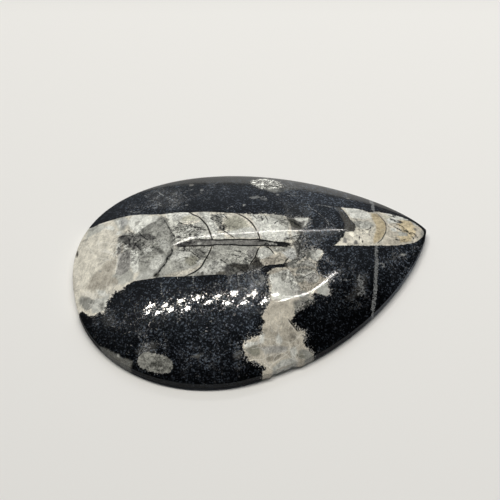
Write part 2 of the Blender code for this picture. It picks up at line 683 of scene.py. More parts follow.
@dataclass(frozen=True)
class Bodies:
    """Where calcite fills the limestone: outlines on the plan."""

    shell: Points = (
        (-36.4, 22.6), (-34.1, 22.7), (-31.8, 22.4), (-29.3, 22), (-27.1, 21.6), (-24.9, 20.7), (-22.9, 19.75),
        (-21.5, 18.8), (-20, 18.1), (-18.8, 17.5), (-17, 17), (-15, 16.4), (-12, 15), (-8, 13.6),
        (-5, 12.1), (-1, 10.4), (1.8, 9.3), (3, 8.8), (4.6, 8.6), (6, 8.1), (8.8, 6.8), (10, 6.2),
        (11.4, 5.5), (13, 5.3), (15.4, 4.9), (15.7, 4.2), (14.9, 2.9), (13.4, 1.6), (12.6, 0.4), (11.7, -1.2),
        (11.3, -3.2), (10.8, -4.6), (9.3, -6.9), (8, -7.4), (7.2, -7.8), (6.4, -8), (4.6, -8.1), (2.8, -8),
        (1.2, -7.7), (0, -7.9), (-2, -8.2), (-4.4, -8.1), (-6.8, -8.3), (-9, -8), (-10, -7.45),
        (-12, -6.85), (-14, -6.3), (-15.8, -5.9), (-17.4, -5.35), (-20, -4.5), (-22, -3.7), (-24, -2.9),
        (-28.2, -1.75), (-30.4, -1.1), (-31.3, -1.2), (-32.7, -1.3), (-33.5, -1.8), (-34.9, -2), (-35.4, -1.5),
        (-36.4, -2.2), (-37.1, -2.9), (-37.9, -3.2), (-38.2, -4), (-38.8, -4.7), (-39.1, -5.7), (-40, -5.4),
        (-41, -5.2), (-41.8, -5.1), (-42.9, -4.6), (-43.5, -3.2), (-44.2, -2.3), (-46.5, -1.8), (-48, 10),
        (-42, 24),
    )
    column: Points = (
        (0.8, -9.7), (2.6, -8.95), (5, -9.2), (8, -8.7), (9.8, -7.6), (11, -7.4), (11.4, -6), (12.6, -5.2),
        (13.4, -5.3), (14, -5.7), (14.8, -5.6), (15.8, -6.5), (15.2, -7.3), (14, -8.4), (13.2, -9),
        (13, -10.2), (12.4, -11.6), (13, -12.6), (13.6, -13.4), (14.6, -13.8), (14, -15), (14, -17),
        (13.4, -17.7), (12, -17.5), (11.1, -17), (10.4, -16.7), (9.4, -17.2), (9.2, -18), (8, -18),
        (5.2, -19.2), (4, -20.2), (3.8, -21.2), (2.7, -22.1), (3.3, -23.6), (3.8, -24.4), (4.5, -24.6),
        (5.2, -25.4), (4.6, -26), (4.2, -27.2), (4.6, -28.4), (5.4, -29.2), (5.8, -30.4), (4, -36),
        (-8, -36), (-7.2, -31.8), (-6.3, -31), (-6.6, -30.2), (-7.4, -29.8), (-8, -29.2), (-9, -28.6),
        (-9.8, -28), (-10, -26.6), (-10.1, -25.4), (-9.2, -24.6), (-7.2, -24), (-5, -23.8), (-4.6, -22.4),
        (-3.6, -21.2), (-4, -20), (-2.8, -18.8), (-1.2, -17.2), (-0.2, -14.6), (0, -12.4), (0.5, -11),
    )
    tip: Points = (
        (25.3, 7.9), (26.2, 7.6), (27.8, 7.4), (29, 7.1), (30.4, 6.5), (31.6, 5.6), (32.8, 5.4), (34.2, 5.7),
        (35.2, 5.4), (36.2, 5), (37.6, 4.6), (39, 4), (40.4, 3.2), (41.6, 2.2), (42.6, 1.2), (43.4, -0.2),
        (44, -1.4), (44.1, -2.6), (43.4, -3.6), (42, -4.6), (40.4, -5.4), (38.6, -5.8), (37, -6),
        (35, -6.2), (32.6, -6.2), (30.4, -6), (27.8, -5.9), (25, -5.7), (19.2, -5.1), (19.6, -4.8),
        (20.5, -4.2), (21.4, -3.4), (22.8, -2.2), (23.3, -1.3), (25.6, -1.2), (26.2, -0.2), (26.6, 1), (26.2, 2.2),
        (26, 3.4), (25.9, 4.6), (25.6, 6),
    )
    sea_lily: Points = (
        (6.6, 24.8), (6.4, 23.4), (6.6, 22.4), (7.2, 21.2), (7.8, 20.3), (9, 19.6), (10.2, 19.2), (11.9, 19.3),
        (13.5, 20.1), (13.6, 21.4), (13.2, 22.6), (12.4, 24.2), (11.4, 25), (9.9, 25.5), (8.2, 25.3),
    )
    pebble: Points = (
        (-34.1, -19.8), (-34.6, -21.4), (-33.4, -23), (-31.7, -24.3), (-29.9, -25.2), (-28.2, -25.7),
        (-27.2, -24.8), (-27.1, -23.5), (-28.2, -22), (-29.5, -21.1), (-30.6, -20.4), (-32.2, -19.4),
    )

    def on_top(self) -> list[np.ndarray]:
        """The outlines that the dome cuts through."""
        return [smoothed(body, True, 3) for body in (self.shell, self.column, self.tip, self.sea_lily, self.pebble)]

    def on_base(self) -> list[np.ndarray]:
        """The outlines that the sawn base cuts through: the shell lies above it, its calcite reaches down to it."""
        mass = ((-37, 26), (-35.5, 21), (-30, 16), (-31, 9), (-26, 4), (-29, 0), (-33, -3),
                (-40, -4.6), (-46.5, -2), (-48, 10))
        foot = ((-8, -36), (-7, -30), (-10.5, -25), (-6, -19), (-7.5, -13), (-3, -8),
                (3, -10), (4.5, -16), (2.5, -22), (5.6, -28), (5, -36))
        return [smoothed(body, True) for body in (mass, foot)]


# Where the edges of the calcite are torn rather than clean.
RAGGED = (
    Spot(-37.5, -3.6, 6, 0.55), Spot(4, 8.6, 3.6, 0.45), Spot(9, 6.6, 3, 0.7), Spot(13, 3, 3.6, 0.9),
    Spot(12, -2.4, 4, 1.5), Spot(10, -7, 2.6, 0.6), Spot(13.5, -7, 3.4, 0.5), Spot(13.5, -14, 4.5, 0.5),
    Spot(0, -15, 5.5, 0.9), Spot(7, -18.5, 3.2, 0.9), Spot(-7.5, -26, 6, 0.7), Spot(4.5, -26.5, 5, 0.6),
    Spot(23, -2.6, 3, 0.3), Spot(34, 0, 11, 0.12), Spot(10, 22, 5.5, 0.7),
    Spot(-31, -22.5, 5.5, 0.25), Spot(-4, -8.2, 4.6, 0.6),
)

# Where thin dark cracks, bright threads and small flecks are thick in the calcite.
CRACKED = (
    Spot(-14.5, 8, 4.8, 0.9), Spot(-15.5, 4.6, 3, 1), Spot(-6.4, 6, 2.4, 0.9), Spot(-6, 10.6, 2.6, 0.9),
    Spot(-13, 0, 3.4, 0.7), Spot(-6, -3.4, 4.4, 0.5), Spot(-27, 9, 6.5, 0.75), Spot(9.6, 4.6, 2, 0.8),
    Spot(6, -5.6, 3.6, 0.5), Spot(11.5, -2, 4, 1), Spot(28, 0.4, 3.6, 0.45), Spot(37.5, -1.6, 4.4, 0.25),
    Spot(-25, 6, 4, 0.5), Spot(-11, -5, 3.4, 0.6), Spot(4, 8.6, 2.2, 0.6), Spot(-30.5, -22.6, 5, 0.6),
    Spot(10, 22.2, 4.8, 1.8), Spot(-4, -7.6, 6, 0.9), Spot(9, -11, 6, 0.7), Spot(34, 0, 11, 0.12),
    Spot(-14, 6, 14, 0.4), Spot(-1, 2, 12, 0.35), Spot(2, 8, 2, 0.4),
)
THREADED = (
    Spot(-39, 2, 10, 0.6), Spot(-31, 14, 11, 0.5), Spot(-3, -26, 9, 0.9),
    Spot(6, -13, 8, 0.5), Spot(-38, -3, 5, 0.9), Spot(10, 22.4, 4.6, 1), Spot(-24, 17, 5, 0.5),
    Spot(37, 0, 8, 0.3),
)

# Where shell dust is thick in the limestone, with a smooth bluish haze over it that is painted sheen, and where it
# drifts in pale wisps.
DUST_AND_SHEEN = (
    Spot(-18, -19, 9.5, 0.8), Spot(-22, -9.5, 8, 0.75), Spot(-33, -9, 6, 0.35),
    Spot(-8, -14, 7, 0.9), Spot(-30, -15.5, 6, 0.35), Spot(-6, -22, 5, 0.5),
    Spot(-20, 25, 11, 0.35), Spot(4, 18, 14, 0.45), Spot(22, 13, 11, 1.15),
    Spot(15, -1, 6, 1), Spot(-8, -18, 5.5, 1.3), Spot(17, -9, 7, 0.6), Spot(24, -10, 6, 0.6),
    Spot(34, -10, 9, 0.6), Spot(12, -19, 4, 0.3), Spot(-38, -8, 4, 0.4),
    Spot(-36, -14, 4, 0.3), Spot(-13, -25, 4, 0.6), Spot(26, 16, 6, 0.7),
)
WISPY = (
    Spot(-16.5, 24, 6.5, 0.9), Spot(-5, 22.5, 5, 0.4), Spot(-31, -18.5, 4.5, 0.8), Spot(13, 10, 6, 0.3),
    Spot(15, -11.5, 4, 0.8), Spot(16, 19, 5, 0.6), Spot(-5, -11, 5.5, 0.9), Spot(-38, -9, 5, 0.4),
    Spot(18, -0.8, 6, 0.35), Spot(20, -16, 5, 0.4), Spot(37, -9, 6, 0.5),
    Spot(-12, -26.5, 3, 0.7), Spot(-24, 22, 4.5, 0.5), Spot(-20, -25, 6, 0.25),
)

SEPTA = (
    strokes(0.34, ((-12.7, 15.5), (-12.2, 14.9), (-11.6, 13.8), (-10.7, 12.6), (-10.2, 11.2), (-9.9, 10),
        (-9.6, 8.8), (-9.5, 7.6), (-9.5, 6), (-9.55, 4.4), (-9.4, 3.3)), ((-10.2, 1.5), (-10.8, 0.5), (-11.8, -0.9),
        (-13, -2.2), (-14, -3.4), (-15, -4.1), (-16.2, -4.6), (-17.4, -4.8), (-18.6, -4.95)), ((-1.5, 10.6),
        (-0.9, 10), (-0.2, 9), (0.6, 7.6), (1.1, 6.2), (1.4, 4.8), (1.56, 3.4), (1.64, 2), (1.6, 0.1)))
    + strokes(0.32, ((0.6, -2.4), (-0.2, -3.4), (-1, -4.7), (-1.8, -5.5), (-2.9, -6.5)))
    + strokes(0.28, ((2.2, -2.6), (2.9, -3.1), (3.3, -4), (3.5, -4.9)))
)
TUBE_WALLS = strokes(
    0.42,
    ((-14.4, 5.25), (-12.8, 4.6), (-11.2, 3.9), (-9.4, 3.3), (-8, 2.7), (-6.4, 2.3), (-4.4, 1.7), (-2.8, 1.3),
    (-1.2, 0.7), (0.6, 0.3), (1.6, -0.1), (3, -0.75), (4.6, -1.6), (6, -2), (8.4, -2.9)), ((-18, 4.2),
    (-16, 3.7), (-14.4, 3.1), (-12.4, 2.4), (-10.8, 1.8), (-9, 1.5), (-7.2, 0.8), (-5.2, 0.2), (-3.4, -0.6),
    (-1.4, -1.2), (0.4, -1.7), (2.6, -2.15), (4.6, -2.8), (6, -3.1), (7.4, -3.5)),
)
TIP_SEPTUM = strokes(
    0.14,
    ((33.9, 4.9), (34.2, 4.2), (34.5, 3), (34.8, 1.8), (34.8, 0.8), (34.4, -0.6), (33.8, -2), (33, -3),
    (32, -4.2), (31.2, -4.8), (30.4, -5.3)),
)
CRACKS = (
    strokes(0.42, ((-19.6, 4.3), (-20, 2.8), (-21.3, 2), (-22, 0.5)))
    + strokes(0.4, ((6.8, -6.8), (5.6, -7.8), (5.5, -9.4)), ((5.1, -1.4), (5.8, -2.1), (6.5, -2), (7.3, -2.6)),
        ((2.2, -21.9), (2.8, -23.2), (3.5, -24.6)))
    + strokes(0.36, ((-6.5, 5.8), (-5.7, 4.6), (-5, 3.4), (-4.3, 2.3)), ((3.7, -2.8), (4.6, -2.8), (5.7, -3.1),
        (6.7, -3.5)))
    + strokes(0.34, ((-22.1, 0.6), (-23.4, -0.4), (-24.3, -1.2), (-25.7, -1.9)), ((2.1, -0.6), (2.7, -0.6),
        (3.2, -1.1)))
    + strokes(0.3, ((0, -8.8), (1.6, -8.4), (3.2, -8.3), (4.8, -8.6), (5.8, -9)), ((38.7, 5.6), (38.8, 4.5),
        (38.7, 3.5)), ((2.1, -1.7), (2.7, -1.6), (3.3, -2)), ((7.8, -0.9), (8.7, -1.2), (9.8, -1.3)), ((6.8, -3.7),
        (7.7, -3.3), (8.6, -3.5)), ((40.4, -2.3), (41.4, -2.9), (41.8, -4)), ((26.9, -4.1), (26.5, -4.9)))
    + strokes(0.28, ((26.4, -3), (26, -3.9)))
    + strokes(0.26, ((-12.3, 8.1), (-11, 7.5), (-9.8, 7.1)), ((5.2, 7.6), (5.3, 5.8)), ((-28.8, 10.5),
        (-28.6, 12), (-28.7, 13.1)), ((-27.7, 10.7), (-27.3, 9.2), (-26.7, 7.6)), ((4.1, 7.7), (4.1, 6.7),
        (3.9, 6.2)), ((5.1, 7.3), (5.3, 6.7), (5.3, 5.9)), ((36.8, 3), (37.6, 2.1), (39.3, 1.6), (39.4, 0.8)),
        ((38.6, -1.2), (39.9, -2.4), (40.5, -3.7)))
    + strokes(0.24, ((-15.7, 12.9), (-15, 11.4), (-13.6, 10.4), (-12.8, 9.6), (-12.2, 8.8), (-10.9, 8.3)),
        ((-5.5, -1.5), (-4, -2.4)), ((2.3, 8.8), (2.8, 7.2)), ((4.2, 8.1), (4, 6.5)), ((-30.7, 14.6),
        (-29.5, 14.4), (-28.3, 14), (-27.2, 12.5)), ((-25.6, 12.9), (-25.1, 11.4), (-24.3, 9.8)), ((35.6, 0.7),
        (36.4, 0.2), (37.2, -0.8), (38.2, -1.8)), ((37.7, 4.9), (38.1, 4.2), (38.1, 3.2)), ((10.1, -0.7),
        (10.9, -1)), ((10.8, 4.5), (11.7, 3.6), (12.8, 2.5)), ((37.1, 0.9), (38.7, 0), (39.1, -0.7),
        (40.1, -2)))
    + strokes(0.22, ((-17.4, 11.7), (-16.4, 10.5)), ((-17.3, 9), (-16, 9)), ((-17.6, 7.4), (-15.2, 6.3)),
        ((-18.2, 3), (-16.8, 2.4), (-15.6, 1.8), (-15, 0.8), (-14.6, -0.2), (-14, -1)), ((-5.4, 7.8),
        (-5.9, 6.9), (-6, 5.6)), ((-5.9, -2.9), (-4, -4)), ((-9.4, -3.2), (-8.2, -4.8)), ((-18.3, 9.7),
        (-18, 7.5), (-19.2, 6.3)), ((-27.9, 15.7), (-27.7, 14.5), (-27, 13.6)), ((-27.7, 10.3), (-25.9, 10.9)),
        ((35.3, -4.3), (36.9, -4.7), (38.7, -4.4)))
    + strokes(0.2, ((-13.4, 6.8), (-12.7, 5.6)), ((-13.6, 1.4), (-12.4, 0)), ((-8, 10.9), (-7.4, 9.8),
        (-6.6, 9.2), (-6.1, 8.1), (-6.7, 6.9), (-6.5, 5.8)), ((-6.5, 8.4), (-5.7, 8.6), (-4.8, 8.7)), ((-6.7, 11.6),
        (-6.2, 10.9), (-5.7, 10.2)), ((-6.6, 11.1), (-6.6, 10.1)), ((7.8, 5.2), (6.6, 4.4)), ((-18.9, 15.2),
        (-18.6, 12.8), (-18.4, 10.2)), ((-30.4, 12.8), (-29.6, 11.3), (-29.4, 9.9)), ((-28.1, 15.9), (-27.4, 14.3)),
        ((38.4, -1.8), (39.4, -2.1), (40.2, -3), (40.6, -4.5)), ((41.8, -3.2), (41.2, -3.9)), ((7.1, -1.6),
        (7.8, -1.3), (8.2, -1.8)), ((10.8, 3.5), (11.8, 2.9), (12.7, 1.6)), ((11.6, 4.8), (12.4, 3.9), (13.2, 3.1)),
        ((36.8, 4.1), (37.8, 3.4), (38.6, 3)), ((40.4, 2.2), (42, 1.8), (42.6, 1.2)), ((30.6, 0), (29.9, -0.7),
        (28.8, -1)))
    + strokes(0.18, ((-18, 0.8), (-16.6, 0)), ((-4.6, 11.3), (-4.3, 10.4), (-4.2, 9.5)), ((-41.3, 16.4),
        (-41.7, 14.7)), ((36.7, 2.2), (38, 1.4), (39.8, 1.2)), ((28.4, -2.4), (29, -2.5), (29.1, -3),
        (28.5, -3)))
    + strokes(0.16, ((6.8, 4.6), (7.6, 5.2), (8.2, 5.5)))
    + strokes(0.14, ((8.5, 4.5), (9.1, 3.9), (9.3, 3.1)))
)
VEINS = (
    strokes(0.82, ((30.3, -5.2), (30, -6.2), (29.4, -7), (29.2, -8), (28.8, -9), (28.5, -10.4), (27.8, -11.8),
        (27.3, -13.4), (26.4, -15.4), (25.5, -17.9), (24.6, -19.7), (23.6, -21.9), (23, -23.4)))
    + strokes(0.8, ((35.6, 12.6), (35, 11.4), (34.6, 10.6), (34.4, 9.2), (34, 8), (33.6, 6.8), (33.4, 5.4)))
    + strokes(0.45, ((3.7, 16.2), (4.4, 15.6), (5.3, 16.1), (6, 16.6)))
    + strokes(0.4, ((19.5, 9.7), (21.2, 9), (23.2, 8.2)), ((5.6, 16.2), (6.2, 15.5), (7.3, 15.6), (7.4, 14.2)),
        ((-8.2, -8.4), (-8.9, -10)), ((-3.2, -8.8), (-3.4, -10.4), (-2.6, -11.8)))
    + strokes(0.35, ((28.2, -11.2), (29.2, -10.9), (30, -11.2), (29.9, -11.8), (29.2, -11.9)))
    + strokes(0.32, ((22, -14), (22.6, -15.7), (22.5, -17), (20.6, -18.5)))
    + strokes(0.3, ((23.7, 8.2), (24, 6.4)), ((35.4, -8.8), (36.9, -8.8)), ((-6.4, -9), (-7, -10.4),
        (-6.8, -11.8)), ((-1.6, -9.2), (-0.9, -10.6), (-1.6, -12.2)))
    + strokes(0.28, ((-18.5, 23.1), (-18.2, 22.5), (-18.6, 22), (-18, 20.9)), ((22.8, -13.6), (21.9, -15.4),
        (22.8, -17.6), (21.6, -18.6)))
    + strokes(0.26, ((-14.6, 24.8), (-13.9, 25.1), (-13.4, 24.4)), ((-12.8, -9), (-11.6, -9.9)))
    + strokes(0.25, ((-5.4, -8.8), (-5.2, -10.8)))
    + strokes(0.24, ((-18.1, 29.2), (-17.4, 28.3), (-17, 27), (-16.5, 25.6)), ((-26.3, 23.4), (-25.3, 22.2),
        (-24.4, 21.8), (-23.7, 21.8)), ((-20.9, 28.7), (-20.7, 27.7), (-20.5, 26.9)), ((-12.5, 18.4), (-12.1, 18.7),
        (-11.8, 18.3)), ((-6, -12.4), (-5.2, -13.6)))
    + strokes(0.22, ((-20.3, 25.3), (-19.4, 24.4), (-19.1, 23.3)), ((-19.7, 22.8), (-19.2, 22.6), (-18.8, 21.8)))
    + strokes(0.2, ((-15.3, 27.1), (-15, 26.2), (-14.6, 26.3)), ((-15.9, 23.2), (-16, 21.5)), ((-7.3, 23.8),
        (-6.6, 24.4)), ((-3.1, 13.1), (-2.4, 13.4), (-1.6, 13.7)), ((-9.6, 25.1), (-8.9, 25.3)), ((23.9, -14.6),
        (22.8, -15.6), (22, -17.2)))
    + strokes(0.16, ((13.3, 14.9), (15.4, 14.4), (17.5, 14.4)))
    + strokes(0.14, ((17, -14.2), (19, -14.5), (21.2, -14.6)), ((-17.4, -7.6), (-16.8, -5.4)))
    + strokes(0.12, ((17.3, 10), (17.2, 8.2), (18, 7.6), (18.8, 5.8), (19.4, 4.4), (19.9, 3), (19.8, 1.2)),
        ((-24.6, -4.6), (-25.1, -7.4)))
)
THREADS = (
    strokes(0.5, ((-36.4, 12.8), (-34.6, 11.4), (-33, 9.4), (-32.6, 8.4)))
    + strokes(0.3, ((-34.2, 3.3), (-33.2, 5.6), (-32.2, 7.6), (-31.3, 9.6)), ((-32.1, 8.7), (-32.8, 7),
        (-33.5, 5.3), (-34.3, 3.3)), ((-33, 13.6), (-31.6, 12.2), (-31.2, 10.8)), ((-1, -24), (-1.3, -25.2),
        (-1.6, -26.6)), ((7.6, -11.5), (9.8, -12), (11.8, -11.1)), ((5.5, -9.8), (5.3, -11.2), (4.3, -12.6)),
        ((13.6, -6.4), (13.2, -7.6), (13.6, -8.8)), ((29.4, 2.6), (31.2, 2.4)), ((-18, -3.6), (-16.8, -3.4),
        (-15.7, -3.3)))
    + strokes(0.26, ((-42.4, 3), (-41, 0.9), (-39.8, -1.4), (-38.8, -3)), ((-4.6, -24.8), (-2.8, -25.4),
        (-1.6, -26.6)), ((-5.2, -30.6), (-3.2, -29.8), (-1, -29.2), (0.2, -28.6)), ((0.5, -28), (0.9, -29),
        (1.6, -30.2)), ((-17.6, 7), (-15.4, 6.4), (-13.4, 5.8)))
    + strokes(0.24, ((-37.9, 14.8), (-36, 15.5), (-34.1, 14.8), (-32.7, 12.9)), ((-36.6, 12.8), (-34.8, 12.7),
        (-33.9, 11), (-33.1, 8.6)), ((-40.6, 0.9), (-39, -0.2), (-37.8, -1.8)), ((-42.2, -1.2), (-40.8, -3),
        (-40.2, -4.6)), ((-35.6, 17), (-36, 14.4), (-35.4, 12.6)), ((-1, -28.6), (0.4, -30), (1.7, -30.7)),
        ((2.9, -26.2), (4.2, -25.3), (5.1, -25.6)), ((9.6, -8.8), (11.4, -9.6), (12.8, -10.6)), ((26, 5.4),
        (28.4, 5.2), (31.4, 5)), ((-15.6, 13.2), (-14.4, 12), (-12.4, 11.4)))
    + strokes(0.22, ((-37.5, 11.1), (-35.7, 9.6), (-33.7, 8.1)), ((-43.2, 2.6), (-41.2, -0.1), (-38.6, -2.9)),
        ((-43, -3), (-41.1, -1.7), (-39.4, 0.3)), ((-30.2, 1.3), (-30, 4.8), (-29.1, 8.2)), ((-40.6, -2),
        (-39.4, -4)), ((-39.4, 17.8), (-38.2, 14.6), (-37.6, 12.2)), ((-10.1, -25.2), (-8.4, -24.9), (-6.4, -25.4),
        (-5.8, -26.6)), ((-8.8, -28.4), (-6.8, -28.9), (-5, -28.6), (-3.4, -28.3)), ((1.9, -21.9), (2.4, -23.2),
        (3.1, -24.5)), ((-6.6, -29.4), (-5.6, -30.6), (-4.6, -31.4)))
    + strokes(0.2, ((-36.9, 7.8), (-35.6, 8.8), (-33.4, 7.5)), ((-27.4, 17.8), (-26.6, 15.4), (-26.8, 13.6)),
        ((-29, 20.6), (-29.8, 18), (-30, 16)), ((-6.1, -24.6), (-5.2, -25.8), (-3.6, -26.6), (-2, -26.4)),
        ((-3, -21.4), (-2.4, -22.6), (-2.7, -24)), ((0.8, -28.4), (2.4, -27.8), (3.2, -27.4)), ((10.4, -8.2),
        (12, -8.8), (13, -9.4)), ((-14.1, -5), (-12.9, -4.2), (-11.9, -3.4)), ((-15, -4.2), (-14.3, -4.8),
        (-13.6, -5.1)))
    + strokes(0.18, ((-13.9, -3.5), (-13.8, -4.5)))
)

# The minerals by their first letters, in their order, with L for slate and B for black.
W, C, T, H, G, O, S, I, L, B = Mineral

